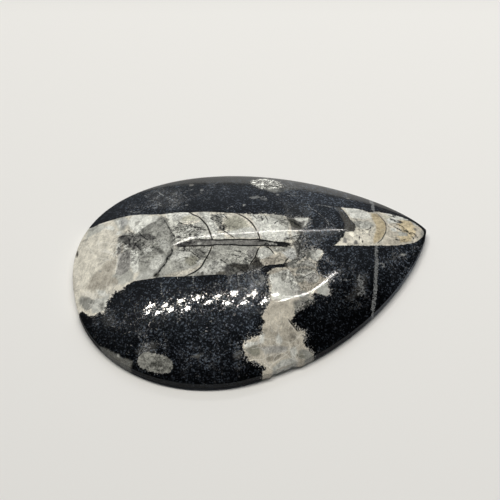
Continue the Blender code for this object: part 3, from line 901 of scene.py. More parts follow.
CALCITE_BASE = Crystal(C, 203, 1, ())
CALCITE = (
    # The column's milky grey, and then the crystals of the mass at the round end.
    Crystal(T, 176, 0.6, ((-12, -9), (18, -9), (18, -36), (-12, -36))),
    Crystal(G, 178, 0.7, ((-36.9, 22.9), (-33.6, 22.6), (-32.8, 20.6), (-34.6, 19.4), (-37.4, 19.6), (-38.8, 18.4))),
    Crystal(G, 160, 0.4, ((-30.6, 22.2), (-28.4, 22), (-27.3, 20.6), (-28, 18.2), (-29, 16.4), (-30, 16.9),
        (-30.3, 19.4))),
    Crystal(W, 204, 0.2, ((-29.9, 21.6), (-29.2, 20.6), (-29.4, 17.6), (-30.1, 18.4))),
    Crystal(G, 160, 0.9, ((-31.4, 13), (-29.6, 15.8), (-26.8, 14), (-22.4, 15.6), (-19, 17), (-17.9, 6),
        (-20.2, 2), (-24.4, -1.2), (-28.4, 0), (-30.6, 3), (-31, 9))),
    Crystal(W, 219, 0.35, ((-27, 19.6), (-25.6, 20.9), (-23.6, 20.2), (-22.2, 19.2), (-21.2, 17.2), (-21.4, 15.9),
        (-22.6, 15.3), (-24, 14.3), (-25.2, 13.2), (-26.6, 14), (-27.4, 16.2), (-27.6, 18.2))),
    Crystal(G, 120, 0.35, ((-31.2, 14.4), (-30.2, 14.9), (-28.9, 14.6), (-27.6, 13.4), (-26.2, 12.8), (-25.3, 12.9),
        (-25, 11.6), (-24.8, 9.8), (-25.4, 8.4), (-26.6, 7.4), (-27.2, 8.8), (-28.2, 9.6), (-29.2, 9.9),
        (-29.6, 11.2), (-30.2, 12.4), (-31.4, 13.2))),
    Crystal(G, 156, 0.3, ((-28.3, 12.4), (-26.6, 12.2), (-26.2, 11), (-27.6, 10.6), (-28.2, 11.2))),
    Crystal(G, 120, 0.3, ((-25.2, 14.3), (-23.4, 15.1), (-22, 15.2), (-20.9, 15.6), (-21, 14.6), (-22.2, 13.6),
        (-23.3, 13.3), (-23.3, 11.8), (-22.6, 10.4), (-22.3, 9.2), (-23.4, 9), (-24.6, 10.6), (-25.3, 12.6))),
    Crystal(G, 150, 0.4, ((-22, 13.4), (-20.6, 14.8), (-19.6, 14.2), (-19.2, 11.6), (-19.2, 9.4), (-21.4, 9),
        (-22.4, 10.8))),
    Crystal(T, 158, 0.25, ((-32.6, 9.2), (-31.6, 10.6), (-30.9, 12), (-30.3, 12), (-30.4, 10.4), (-31.2, 8.8),
        (-32.2, 7.6))),
    Crystal(T, 166, 0.9, ((-42, 3.4), (-40.2, 5.4), (-38.4, 6.6), (-35.4, 8.2), (-33.2, 8.3), (-33, 7.6),
        (-34.2, 4.8), (-35, 3.2), (-35.6, 1), (-37.2, 0.4), (-40, 1.4))),
    Crystal(G, 170, 0.3, ((-35, 3.4), (-31, 3.2), (-30.1, 1.2), (-30.6, -0.8), (-33.6, -0.6), (-35.4, 0.8))),
    Crystal(W, 198, 0.25, ((-29, 8.2), (-27.4, 8.4), (-27.4, 6), (-28.2, 3.4), (-28.6, 1.4), (-30.1, 1.3),
        (-29.9, 4.6))),
    Crystal(G, 138, 0.5, ((-27.2, 7), (-25.8, 6.4), (-24.6, 4.8), (-24.9, 2.6), (-26.2, 1.6), (-27.4, 2.8),
        (-27.8, 4.6))),
    Crystal(W, 184, 0.4, ((-22.6, 8.8), (-20.4, 8), (-19.8, 5.4), (-20.6, 3.6), (-21.4, 4.2), (-21.8, 6))),
    Crystal(G, 106, 0.25, ((-23.9, 7.9), (-23, 6.6), (-22, 5.2), (-21.6, 4), (-22.2, 3.6), (-23, 4.8),
        (-23.8, 6.4))),
    Crystal(W, 194, 0.3, ((-24.8, 3.2), (-23, 3.8), (-21.8, 3.2), (-21.2, 2.2), (-22.2, 0.6), (-23.6, -0.4),
        (-25.2, 0.6))),
    Crystal(W, 180, 0.4, ((-28.6, 0.6), (-25.4, 0.2), (-23.4, -0.6), (-25.4, -2.4), (-28.6, -1.8), (-30.2, -0.8))),
    Crystal(W, 203, 0.3, ((-21.4, 17.8), (-20.2, 18), (-19.8, 16.4), (-20.8, 15.6), (-21.8, 16))),
    Crystal(G, 135, 0.6, ((-44.3, 1.2), (-43, 1.8), (-41.6, 0.2), (-40.4, -1.4), (-41.4, -1.6), (-43.2, -0.4),
        (-44.2, -0.8))),
    Crystal(W, 184, 0.4, ((-41.8, -0.6), (-38.6, -1.6), (-36.6, -1.4), (-38.6, -5.4), (-42, -4.6))),
    Crystal(T, 118, 0.25, ((-41.6, 16.2), (-41, 16.2), (-41.4, 14.6), (-42, 14.8))),
    Crystal(G, 138, 0.5, ((-19.5, 16.8), (-18.3, 15.8), (-17.8, 13), (-17.8, 9.7), (-17.7, 7.1), (-19.4, 5.4),
        (-19.6, 7.4), (-18.8, 9.1), (-18.8, 11.8), (-19.4, 14.3))),
    # The chamber between the two left-hand walls, above the tube.
    Crystal(G, 201, 0.3, ((-17.9, 17.4), (-12.6, 15.4), (-9.8, 10.6), (-9.5, 3.6), (-14.4, 5.2), (-18.2, 6))),
    Crystal(W, 222, 0.3, ((-18.2, 17.7), (-16.6, 17.1), (-14, 16.4), (-12.4, 15.4), (-12.8, 14.2), (-14.6, 14.2),
        (-15.8, 13.4), (-16.8, 13.8), (-17.8, 15.2))),
    Crystal(O, 190, 0.4, ((-14.6, 14), (-12.6, 14.2), (-11.2, 13), (-10.8, 11.8), (-12.2, 11.6), (-13.8, 12.2),
        (-15, 12.8))),
    Crystal(C, 220, 0.3, ((-15.6, 12.6), (-13.6, 12), (-12.2, 11.4), (-10.6, 11.6), (-10.4, 10.8), (-12.4, 10.4),
        (-13.6, 10.6), (-15.2, 11.4))),
    Crystal(G, 177, 0.5, ((-17.6, 12.2), (-15.6, 11.2), (-13.4, 10), (-11.6, 8.8), (-10, 9.2), (-9.8, 6.6),
        (-11.8, 5.8), (-14.6, 6.4), (-17.2, 7.4))),
    Crystal(W, 198, 0.25, ((-17.2, 8.5), (-15.4, 8.6), (-15, 7.2), (-16.4, 7.3))),
    Crystal(W, 203, 0.25, ((-14.7, 9.5), (-13.2, 9.1), (-13, 8), (-14.6, 7.8))),
    Crystal(W, 196, 0.25, ((-12.6, 7.3), (-11.2, 7), (-11, 6), (-12.6, 6.2))),
    # The next chamber.
    Crystal(W, 208, 0.25, ((-10.6, 14.4), (-8.6, 13.8), (-7.6, 13.2), (-7.8, 11.4), (-7.4, 9.6), (-7.2, 7.8),
        (-7.2, 6.4), (-8, 4.4), (-9.2, 3.6), (-9.3, 7.4), (-9.6, 10.6))),
    Crystal(G, 142, 0.3, ((-7.6, 12.4), (-5.2, 11.8), (-4.1, 10.5), (-4.8, 9.3), (-5.7, 8.8), (-6, 7),
        (-5.8, 5), (-6.8, 5.4), (-7.1, 7.6), (-7.3, 9.4), (-8, 10.8))),
    Crystal(W, 198, 0.2, ((-5.1, 10.9), (-4.2, 11), (-4.4, 10), (-5.2, 9.9))),
    Crystal(G, 172, 0.2, ((-6.6, 12), (-5.6, 11.6), (-5.8, 10.8), (-6.6, 10.8))),
    Crystal(C, 208, 0.3, ((-5.2, 9.9), (-3, 11), (-1.4, 10.6), (0, 9), (1.3, 5.2), (1.4, 3.4), (-0.6, 4.4),
        (-1.6, 5), (-5.4, 8.6))),
    Crystal(O, 174, 0.3, ((-4.9, 8.8), (-3.6, 9.7), (-1.8, 9.7), (-0.6, 8.5), (0.1, 6.6), (0.1, 4.2), (-0.9, 3.2),
        (-2.6, 3.5), (-4.2, 4.5), (-5.2, 5.9), (-5.5, 7.6))),
    Crystal(O, 158, 0.5, ((-4.9, 8.2), (-3.4, 8.5), (-1.6, 7.7), (-1, 6.1), (-1.6, 5), (-3.8, 5.2), (-4.9, 6.3))),
    Crystal(W, 192, 0.4, ((-6, 4.9), (-3.4, 4.8), (-1, 4.9), (0.8, 4.6), (1.4, 3), (1.5, 0.6), (-1.6, 1.4),
        (-4, 2.4), (-5.2, 4))),
    Crystal(W, 200, 0.3, ((-8.8, 4), (-7.2, 5), (-6.4, 3.6), (-6.2, 2.6), (-8.8, 3.2))),
    # Beyond the second wall: bright cream, which runs out in grey.
    Crystal(W, 212, 0.5, ((1.7, 9.6), (3.4, 8.8), (5, 7.9), (7, 6.6), (8.6, 5.2), (9.4, 3), (9, 0.6),
        (8.6, -1.6), (6.4, -1.8), (4, -1), (2.2, -0.2), (1.9, 3.4), (1.6, 6.2))),
    Crystal(S, 112, 0.6, ((10, 7.5), (16.5, 7), (16.5, -1), (13, -6), (10.5, -6), (9.6, -1),
        (10.4, 3.4))),
    Crystal(G, 146, 0.5, ((6, 8.2), (9.8, 6.8), (9.4, 5.2), (7.6, 5.6), (6.2, 6.8))),
    Crystal(G, 159, 0.5, ((7.8, 5.6), (10.4, 5.4), (10.2, 3), (9.4, 1.6), (8.8, 2.8), (7.8, 4))),
    Crystal(C, 202, 0.4, ((8.8, 1), (11.6, 1), (11.8, -0.4), (10.6, -1.6), (9, -1.4))),
    Crystal(O, 80, 0.35, ((10.2, 5.6), (11.6, 4.9), (12.6, 3.2), (13.4, 1.8), (12, 1.4), (10.8, 2.2), (10.2, 3.6))),
    Crystal(S, 150, 0.4, ((11.9, 5.1), (14.2, 5.3), (14, 4), (13.2, 3.4), (12.6, 3.8), (12.2, 4.4))),
    Crystal(S, 64, 0.6, ((11.8, 0.6), (13.6, 0.8), (15, -0.2), (13, -5), (10.8, -5), (10.6, -2.2))),
    Crystal(S, 96, 0.5, ((8.7, -3), (10.6, -2.2), (11.8, -3.4), (11.4, -5.8), (9.6, -8), (8.6, -8.2),
        (9.1, -5.6))),
    Crystal(W, 160, 0.2, dot(10.9, -2.3, 0.5, 0.6, 40)),
    Crystal(W, 150, 0.2, dot(9.9, -4.3, 0.6, 0.6, 70)),
    # The tube's fill: grey, and black where it ends.
    Crystal(S, 122, 0.15, ((-14.6, 5.2), (-9.4, 3.3), (-4.4, 1.7), (1.6, -0.1), (3.2, -0.9), (2.6, -2.1),
        (-1.4, -1.2), (-7.2, 0.8), (-12.4, 2.4), (-16, 3.7))),
    Crystal(S, 61, 0.25, ((-18.7, 5.5), (-17.4, 5.2), (-15.6, 5.2), (-14.4, 4.8), (-14.4, 3.5), (-16.2, 3.7),
        (-18.2, 4.2))),
    Crystal(W, 200, 0.12, ((-13.2, 3.6), (-12.4, 3.5), (-12.6, 2.9), (-13.4, 3.1))),
    Crystal(S, 30, 0.2, ((1.2, 0.1), (2.4, -0.4), (3.6, -1), (5.2, -1.7), (7.4, -2.2), (8.8, -3), (7.2, -3.6),
        (4.4, -2.7), (2.4, -2), (0.6, -1.4))),
    Crystal(S, 112, 0.15, ((-0.4, -0.2), (1, -0.3), (2, -1.2), (1.2, -1.7), (-0.6, -1.2))),
    # Below the tube: the left-hand chamber and the next one.
    Crystal(G, 178, 0.2, ((-18.4, 4.3), (-14.2, 2.8), (-10.4, 1.5), (-11.8, -0.9), (-14, -3.4), (-17, -4.8),
        (-20, -5), (-24, -3.8), (-26.6, -3.2), (-23.6, -0.8), (-20.2, 2.6))),
    Crystal(W, 198, 0.5, ((-19.8, 2.8), (-18.4, 3.2), (-16.6, 2.2), (-15.6, 1.2), (-16.4, 0), (-18.6, -0.2),
        (-20.4, 0.8), (-21, 1.8))),
    Crystal(O, 150, 0.5, ((-17.4, 0.4), (-15.4, 0.2), (-14.2, -1.2), (-15.2, -2.6), (-16.8, -2.6), (-17.6, -1.2))),
    Crystal(G, 132, 0.35, ((-15.2, 2.4), (-12.6, 1.6), (-12.2, -0.2), (-13.2, -1.6), (-14.2, -1.2), (-14.4, 0.2))),
    Crystal(C, 194, 0.35, ((-23.6, -2.8), (-20, -3), (-17, -3.4), (-15, -3), (-13.8, -2.2), (-13.6, -3),
        (-15.4, -4.2), (-17.8, -4.7), (-20.4, -4.8), (-23.8, -3.8))),
    Crystal(W, 204, 0.25, ((-15.2, -1.8), (-13.9, -1.6), (-14, -2.8), (-15, -3))),
    Crystal(W, 198, 0.2, ((-12.4, 1.4), (-11, 1.2), (-11.6, 0.2), (-12.3, 0.4))),
    Crystal(G, 160, 0.2, ((-9.8, 1.4), (-5, 0), (0.4, -2), (-0.9, -4.4), (-3, -6.6), (-9, -8.4),
        (-18.6, -5.2), (-14.2, -3.6), (-11.8, -1.2))),
    Crystal(G, 128, 0.3, ((-10.8, 0.2), (-9.6, -0.6), (-10.2, -1.8), (-11.4, -1.4))),
    Crystal(W, 188, 0.4, ((-13.8, -3.6), (-11.6, -2.8), (-9.6, -3.2), (-8.8, -4.6), (-8.6, -6.2), (-10.4, -7.2),
        (-13, -6.4), (-15.6, -5.6))),
    Crystal(G, 178, 0.6, ((-9.6, -0.2), (-7, -0.6), (-4.6, -1.4), (-2.4, -2.4), (-2.6, -4.4), (-4.6, -5),
        (-7.4, -4.4), (-8.6, -2.6))),
    Crystal(S, 144, 0.4, ((-2.2, -2), (0.2, -2.6), (-0.8, -4.2), (-2, -5.4), (-3, -4.6))),
    Crystal(S, 84, 0.5, ((-8.8, -5.2), (-6.8, -5), (-5, -5.7), (-3, -6.4), (-1.6, -6.6), (0.4, -7.8),
        (0.8, -9), (-4, -9.4), (-9.4, -9), (-9.4, -7.2))),
    Crystal(T, 58, 0.35, ((-8.1, -5.3), (-6.1, -5.6), (-3.2, -6.5), (-3.7, -8.7), (-5.1, -7.8), (-6.9, -6.7))),
    Crystal(G, 104, 0.3, ((-7.9, -6.3), (-6.6, -6.4), (-5.9, -7.6), (-6.3, -8.6), (-8.1, -8))),
    Crystal(T, 60, 0.15, ((-0.4, -4.6), (-0.1, -6.2), (0.2, -8), (-1.4, -7.6), (-2.9, -6.5), (-1.6, -5.6))),
    Crystal(W, 192, 0.2, ((-0.5, -4.8), (-0.2, -3.4), (0.7, -2.6), (2, -2.5), (2.9, -3.2), (3.4, -4.8), (2.8, -5.8),
        (1.2, -6), (-0.1, -5.8))),
    Crystal(T, 170, 0.3, ((0, -5.9), (3.4, -5.2), (5.6, -4.8), (6.4, -6.2), (5.8, -8), (3, -8.2), (0.8, -7.9))),
    Crystal(G, 146, 0.3, ((3.2, -2.9), (6.4, -3.5), (8.6, -3.8), (8, -4.4), (5, -4.8), (3.5, -4.2))),
    Crystal(W, 212, 0.12, dot(4.6, -3.75, 0.25)),
    Crystal(I, 194, 0.25, ((5.6, -5), (7.2, -4.5), (8.8, -4.2), (9.1, -5.8), (8.4, -7.2), (7, -7.6),
        (6.2, -6.4))),
    Crystal(G, 100, 0.3, ((8.6, -7), (9.3, -6.6), (8, -7.8), (6.8, -8.2), (7.2, -7.6))),
    Crystal(G, 128, 0.4, ((-19.3, 4.9), (-19.5, 3), (-21.3, 1.1), (-22.2, 0.2), (-24.5, -1.8), (-25.6, -2.2),
        (-25.7, -1.2), (-23.7, 0), (-22.2, 1.6), (-20.7, 3.6))),
    Crystal(O, 74, 0.3, ((-25.8, -1.6), (-24.9, -1.2), (-24.1, -1.7), (-24.4, -2.6), (-25.2, -2.5), (-25.9, -2))),
    Crystal(T, 96, 0.3, ((-11.5, -6.6), (-10.5, -6.4), (-9.1, -7), (-9.3, -7.7), (-11.5, -7.1))),
    Crystal(O, 86, 0.2, dot(-14.6, -5.5, 0.45)),
    Crystal(S, 80, 0.12, dot(-12.3, -6.3, 0.22)),
    Crystal(O, 96, 0.15, dot(-13, -5.4, 0.25)),
    # The column, from its head down to the rim.
    Crystal(W, 206, 0.5, ((0.2, -13.8), (2, -11.4), (4.2, -9.8), (5, -10.4), (3.8, -12.6), (5.6, -13.4),
        (6.6, -16), (3, -17.4), (-0.4, -16.6))),
    Crystal(W, 204, 0.4, ((0.3, -10.6), (3.8, -10), (5.8, -9.8), (6.3, -11.6), (7, -14.3), (6.9, -16.3),
        (3.7, -16.9), (1, -15.7), (0.5, -13.6))),
    Crystal(W, 196, 0.35, ((7, -11.1), (9.3, -11.8), (11.9, -11.4), (12.1, -13.3), (9.6, -13.9), (8.6, -12.2))),
    Crystal(G, 112, 0.25, ((3.5, -10.8), (5.1, -10.5), (4.7, -11.8), (3.7, -12.7), (3.2, -12))),
    Crystal(G, 108, 0.3, ((6.7, -11.9), (8.1, -12.4), (8.7, -13.5), (8.1, -13.9), (6.7, -13.5))),
    Crystal(G, 120, 0.35, ((6.1, -15.4), (8, -15.9), (9.1, -17.1), (7.3, -18), (6, -17.3))),
    Crystal(T, 186, 0.5, ((-2.1, -19.5), (0.9, -19.3), (3.1, -20.4), (3.5, -22.3), (1.6, -23.8), (-1.2, -23.3),
        (-3.2, -21.6))),
    Crystal(W, 206, 0.3, ((-5.6, -23.8), (-4.3, -23.8), (-5.1, -25.6), (-6.1, -25.7))),
    Crystal(W, 204, 0.25, ((-9.8, -24.8), (-8, -24.7), (-6.2, -25.2), (-6.6, -25.8), (-9.8, -25.7))),
    Crystal(G, 128, 0.3, ((-9.9, -25.9), (-6.7, -26.1), (-6.7, -27.5), (-8, -28), (-9.6, -26.8))),
    Crystal(W, 214, 0.25, ((-2, -25.1), (-1, -25), (-0.6, -26.1), (-1.6, -26.7), (-2.3, -26.2))),
    Crystal(G, 128, 0.3, ((2.5, -28.7), (4.1, -28.7), (5.5, -29.9), (4.8, -30.5), (2.5, -30.5))),
    Crystal(T, 190, 0.35, ((-5.4, -29.8), (-0.2, -29.7), (1.7, -30), (1, -30.7), (-2.5, -31), (-5.4, -31.5))),
    Crystal(G, 138, 0.25, ((3.4, -10.6), (4.8, -10.2), (5, -11.4), (4.2, -12.4), (3.4, -12))),
    Crystal(G, 144, 0.25, ((6.8, -11), (8.4, -10), (11.2, -10.6), (12.2, -11.6), (9.6, -11.6), (7.6, -11.4))),
    Crystal(G, 146, 0.25, ((6.9, -12), (9.2, -12.2), (8.8, -13.4), (7.8, -13.7), (7.1, -13.2))),
    Crystal(S, 170, 0.3, ((9.8, -12.4), (11.8, -11.4), (12.6, -13.2), (11.4, -14.4), (9.6, -14.2), (8.8, -13.4))),
    Crystal(G, 140, 0.35, ((5.2, -9), (9.2, -8.6), (11.2, -8), (12.6, -9.6), (12.8, -11), (11.4, -10.2),
        (9.6, -9.8), (7, -9.8))),
    Crystal(W, 186, 0.3, ((12.2, -5.6), (14.8, -5.8), (15.8, -6.4), (14.4, -7.8), (13.2, -9), (12, -8))),
    Crystal(G, 118, 0.3, ((11.2, -6.2), (12.2, -5.4), (12.4, -7.4), (11.4, -7.8))),
    Crystal(W, 172, 0.3, ((11, -15.6), (13.8, -14.6), (14.4, -17.6), (12, -17.9), (10.8, -16.8))),
    Crystal(G, 118, 0.6, ((4.4, -17.9), (8.6, -17.4), (9.4, -18.4), (5.6, -19.4), (4.2, -20.4))),
    Crystal(O, 142, 0.5, ((-9.4, -26), (-7.4, -25.7), (-6.2, -26.4), (-6.8, -27.8), (-8.6, -27.8))),
    Crystal(T, 138, 0.4, ((-5.4, -28.9), (-2.2, -28.5), (-1.4, -29), (-3.6, -29.7), (-5.6, -29.8))),
    Crystal(G, 136, 0.4, ((3.2, -28.6), (5, -28.6), (6, -30.6), (3.4, -31))),
    Crystal(O, 112, 0.3, ((1.9, -29.3), (3.4, -29.2), (3.6, -30.2), (2.1, -30.4))),
    Crystal(T, 136, 0.5, dot(2.3, -25.4, 0.8)),
    Crystal(W, 192, 0.35, ((-2, -25), (-1.2, -24.4), (-0.6, -25.4), (-1, -26.6), (-1.9, -26.2))),
    Crystal(W, 188, 0.4, ((0.5, -28), (2.2, -27.6), (2, -29.2), (1.2, -30.2), (0.5, -29.4))),
    Crystal(W, 178, 0.25, ((-4.8, -31.2), (-2.4, -30), (0.8, -29.8), (1.8, -30.8), (-2, -31.2), (-4.6, -31.8))),
    Crystal(S, 158, 0.5, ((-6.2, -26.4), (-3.2, -26.6), (0.2, -27.4), (-0.4, -28.4), (-5.6, -28.2))),
    # The point of the shell.
    Crystal(C, 200, 0.3, ((20, 9), (45, 9), (46, -7), (20, -7))),
    Crystal(W, 214, 0.4, ((26, 7.6), (29, 7.2), (31.2, 5.8), (32.2, 4.4), (31.8, 3.2), (29.4, 2.8), (26.6, 3.6),
        (26, 5.6))),
    Crystal(G, 174, 0.5, ((26.6, 2.2), (30.6, 2), (31.6, 0.6), (30.4, -0.4), (28, -0.8), (26.4, 0.6))),
    Crystal(C, 222, 0.4, ((22.4, -3.2), (24.4, -1.4), (27.4, -1.6), (29.2, -1.8), (29, -4.8), (25.6, -5.2),
        (22.2, -4.8))),
    Crystal(W, 221, 0.2, ((31.4, 3.9), (32.4, 3.6), (32, 2.8), (31.2, 3))),
    Crystal(H, 176, 0.4, ((32.4, 5), (33.8, 4.8), (34.6, 3), (34.8, 0.8), (34.2, -1.4), (32.8, -3.4),
        (31, -4.8), (29.4, -5.4), (29.8, -3.8), (31.2, -1.6), (32, 0.6), (31.8, 2.8))),
    Crystal(T, 190, 0.25, ((34.3, 5.2), (38.4, 4.6), (41.4, 2.8), (43.8, -0.4), (44.2, -2.6), (41.2, -5.2),
        (37, -6.2), (31.6, -6.4), (33, -3.6), (34.7, -0.8), (35, 2.2))),
    Crystal(W, 206, 0.4, ((35.2, 5.6), (38.4, 4.8), (41.4, 2.8), (43.8, -0.2), (42.6, -0.2), (40.2, 2),
        (37, 3.8))),
    Crystal(O, 186, 0.4, ((35.2, 4.2), (37.4, 3.6), (36.4, 1.2), (35.2, 1.8))),
    Crystal(H, 172, 0.4, ((37, -4), (40, -4), (39.8, -5.2), (36.4, -5.4))),
    Crystal(H, 190, 0.5, ((37.8, 1.3), (40.4, 2.2), (42.1, 1.6), (42.5, -0.8), (41.3, -3.4), (38.1, -5),
        (36.2, -3.8), (38.4, -1.9))),
    Crystal(T, 176, 0.5, ((32.7, -5.1), (33.8, -3.7), (36.2, -4.3), (36.5, -5.7), (33.8, -6.2))),
    Crystal(W, 214, 0.35, ((35.5, 2.5), (38.4, 3.8), (39.8, 2.8), (37.4, 1.3), (35.5, 0.8))),
    Crystal(S, 112, 0.2, ((36.7, 2.7), (37.8, 2.3), (39.6, 1.3), (38.9, 0.6), (37.4, 1.3), (36.6, 1.9))),
    Crystal(W, 208, 0.25, ((36.6, 2), (38.4, 2.2), (38.6, 1.3), (37, 0.8))),
    Crystal(W, 202, 0.3, ((35.4, -0.6), (37, -0.8), (36.8, -2.2), (35.6, -1.8))),
    Crystal(G, 172, 0.3, ((37.2, -2), (39.6, -2.4), (39, -3.6), (36.8, -3.4))),
    Crystal(T, 116, 0.3, dot(42, -1.4, 0.5)),
    Crystal(G, 150, 0.4, ((43.2, -2.2), (44.2, -1.4), (44.6, -3), (42.6, -4.6))),
    Crystal(S, 120, 0.15, dot(27.6, 2.8, 0.28)),
    Crystal(S, 116, 0.15, dot(27.7, 1.1, 0.3, 0.6, 30)),
    Crystal(S, 140, 0.15, dot(27.4, 5.6, 0.25)),
    # The two round sections in the limestone.
    Crystal(W, 220, 0.4, ((5, 27), (15, 27), (15, 17), (5, 17))),
    Crystal(G, 140, 0.3, ((-36, -18), (-26, -18), (-26, -27), (-36, -27))),
    Crystal(G, 100, 0.5, dot(-30.6, -22.9, 1.6, 0.5, -20)),
    Crystal(W, 216, 0.25, ((-33.2, 20.6), (-32.1, 20.6), (-30.9, 19.4), (-31.3, 17.9), (-32.6, 19.1))),
    Crystal(I, 176, 0.25, ((-29.5, 21.4), (-27.7, 21.2), (-27.1, 19.4), (-28, 17.7), (-28.9, 19.2), (-29.7, 19.3))),
    Crystal(W, 212, 0.25, ((-30.4, 17.1), (-29.3, 16.2), (-30.5, 15.5), (-31.4, 16.1))),
    Crystal(S, 88, 0.3, ((-30.7, 14.8), (-29.6, 14.9), (-28.8, 14), (-29.2, 13.3), (-30.2, 13.5))),
    Crystal(S, 78, 0.25, ((-29.6, 12.9), (-28.6, 11.9), (-28.6, 10.4), (-29.6, 10.3), (-30.1, 11.8))),
    Crystal(S, 92, 0.25, ((-24.8, 12.5), (-23.3, 11.2), (-22.5, 10.1), (-22.9, 9.5), (-24.2, 10.4), (-25.2, 11.5))),
    Crystal(S, 84, 0.25, ((-27.2, 9.9), (-26.4, 9.9), (-26.4, 8.1), (-27.1, 8))),
    Crystal(S, 84, 0.25, ((-30.9, 9.2), (-29.6, 9.5), (-29.4, 8.6), (-30.9, 8.1))),
    Crystal(W, 208, 0.2, ((-26.2, 7.6), (-24.8, 7.2), (-23.7, 6.3), (-24.4, 5.5), (-26, 6))),
    Crystal(T, 128, 0.3, ((-42.9, 0.5), (-41.5, 0.1), (-40.5, -1.4), (-41.2, -2.2), (-43.1, -1.3))),
    Crystal(W, 210, 0.2, ((-39.6, 1.5), (-37.7, -0.1), (-37.3, -1.6), (-39.2, -1.1))),
    Crystal(G, 128, 0.3, ((-40.1, -2.9), (-38.7, -3.2), (-38.7, -4.7), (-39.8, -4.9))),
    Crystal(S, 120, 0.3, ((1.5, -0.5), (3.5, -1.1), (5.3, -1.7), (5, -2.7), (3.2, -2.3), (1.4, -1.8))),
    Crystal(W, 212, 0.12, ((4.1, -1.4), (4.6, -1.4), (4.5, -2), (4, -2))),
    Crystal(W, 200, 0.12, ((3.3, -1.8), (3.8, -1.8), (3.5, -2.3))),
    Crystal(W, 206, 0.12, ((4.8, -2.1), (5.2, -2.4), (4.9, -2.8))),
    Crystal(W, 200, 0.1, ((3, -0.7), (3.4, -1), (3.2, -1.2))),
    Crystal(W, 216, 0.2, ((12.1, 5.3), (13.6, 5), (15.7, 4.7), (15, 3.6), (14.1, 4.1), (13.2, 3.8), (12.5, 4.2))),
    Crystal(W, 190, 0.3, ((14.3, 3.6), (14.9, 3.5), (14.2, 2.2), (13.2, 1.7))),
    Crystal(W, 205, 0.3, ((10, 1), (11.1, 0.4), (11.4, -0.8), (10, -2.2), (9.3, -1.2))),
    Crystal(S, 70, 0.5, ((12.1, 0.4), (13.5, 0.1), (12.6, -2.6), (11.1, -4.7), (9.7, -7.1), (9, -7), (10.1, -4.6),
        (11.4, -2.4))),
    Crystal(S, 124, 0.2, ((21.4, -4.6), (22.5, -2.9), (23, -3.5), (22.5, -4.9))),
    Crystal(S, 120, 0.2, ((24, -5.3), (24.9, -4), (25.5, -4.4), (25.3, -5.4))),
    Crystal(S, 138, 0.08, ((-32, 9.1), (-30.5, 8.9), (-29, 8.7), (-29.7, 5.3), (-30.6, 3), (-32.6, 2.1),
        (-34.2, 3.1), (-33.3, 5.9))),
    Crystal(W, 214, 0.08, ((-28.9, 8.7), (-27.7, 7.7), (-27.5, 6.1), (-28.3, 3.1), (-28.8, 1.6), (-29.8, 2.2),
        (-30.1, 4.1), (-29.3, 6.4))),
    Crystal(S, 84, 0.08, ((-30.8, 14.5), (-29.6, 14.9), (-28.6, 13.9), (-28.2, 12.3), (-28.8, 11.1), (-29.7, 12.4),
        (-30.2, 13.5))),
    Crystal(S, 70, 0.08, ((-29.7, 11.8), (-28.7, 11.4), (-28.1, 10.7), (-28.8, 9.4), (-29.6, 10.3))),
    Crystal(S, 104, 0.08, ((-27.8, 13.8), (-26, 12.6), (-24.8, 12.1), (-25.4, 10.9), (-26.8, 11.5), (-27.8, 10.7),
        (-28.2, 12.1))),
    Crystal(S, 96, 0.08, ((-24.8, 12.1), (-23.4, 11.9), (-22.6, 9.7), (-23.2, 9.3), (-24.5, 10.2))),
    Crystal(S, 112, 0.08, ((-28.5, 10.9), (-27.1, 10.3), (-27, 8.4), (-28.1, 8.2), (-28.7, 8.9))),
    Crystal(G, 146, 0.08, ((-26.5, 9.6), (-24.7, 9.4), (-24.1, 7.9), (-24.8, 7.2), (-26.2, 7.6))),
    Crystal(G, 158, 0.1, ((-27.3, 6), (-24.2, 5.1), (-24.6, 2.6), (-25.6, 1.7), (-27.2, 1.2), (-28.6, 1.3))),
    Crystal(W, 204, 0.1, ((-25.1, 2.8), (-23.5, 3), (-22.6, 1.6), (-24.3, -0.2), (-25.7, 0.1), (-26.2, 1.1))),
    Crystal(W, 200, 0.06, ((-31.9, 12.4), (-30.9, 12.6), (-30.6, 11.6), (-31.8, 11.2), (-32.5, 9), (-32.6, 9.8))),
    Crystal(S, 120, 0.08, ((-32.1, 11), (-31, 11.5), (-30.7, 10.1), (-31.8, 8.9), (-32.4, 8.9))),
    Crystal(W, 222, 0.06, ((-30, 11), (-29.3, 10.8), (-29.5, 9.4), (-30.2, 9.5))),
    Crystal(W, 222, 0.08, ((-26.8, 18.3), (-24.6, 18.7), (-22.1, 18.6), (-23.1, 16.5), (-25.2, 15), (-26.4, 14.2),
        (-27.2, 15.5))),
    Crystal(G, 168, 0.08, ((-25.8, 18.1), (-24.6, 17.8), (-25.1, 16.4), (-26.2, 16.4))),
    Crystal(I, 150, 0.08, ((-29.3, 19.9), (-28.4, 20.6), (-28.3, 18.8), (-28.8, 17.4), (-29.5, 17.8))),
    Crystal(W, 226, 0.08, ((-33.1, 20.6), (-32, 20.4), (-30.9, 19.4), (-31.3, 18.1), (-32.7, 19))),
    Crystal(G, 136, 0.12, ((-43.4, 0.3), (-41.5, 0.1), (-40.7, -1.5), (-41.9, -3), (-43.3, -2.7), (-43.7, -1.2))),
    Crystal(T, 160, 0.15, ((-35.4, 2.6), (-34.5, 2.6), (-33.9, 0.9), (-34.4, -0.1), (-35.6, 1.2))),
    Crystal(S, 132, 0.08, ((-37.8, 6.7), (-37.2, 6.6), (-37, 6), (-37.7, 5.9))),
)

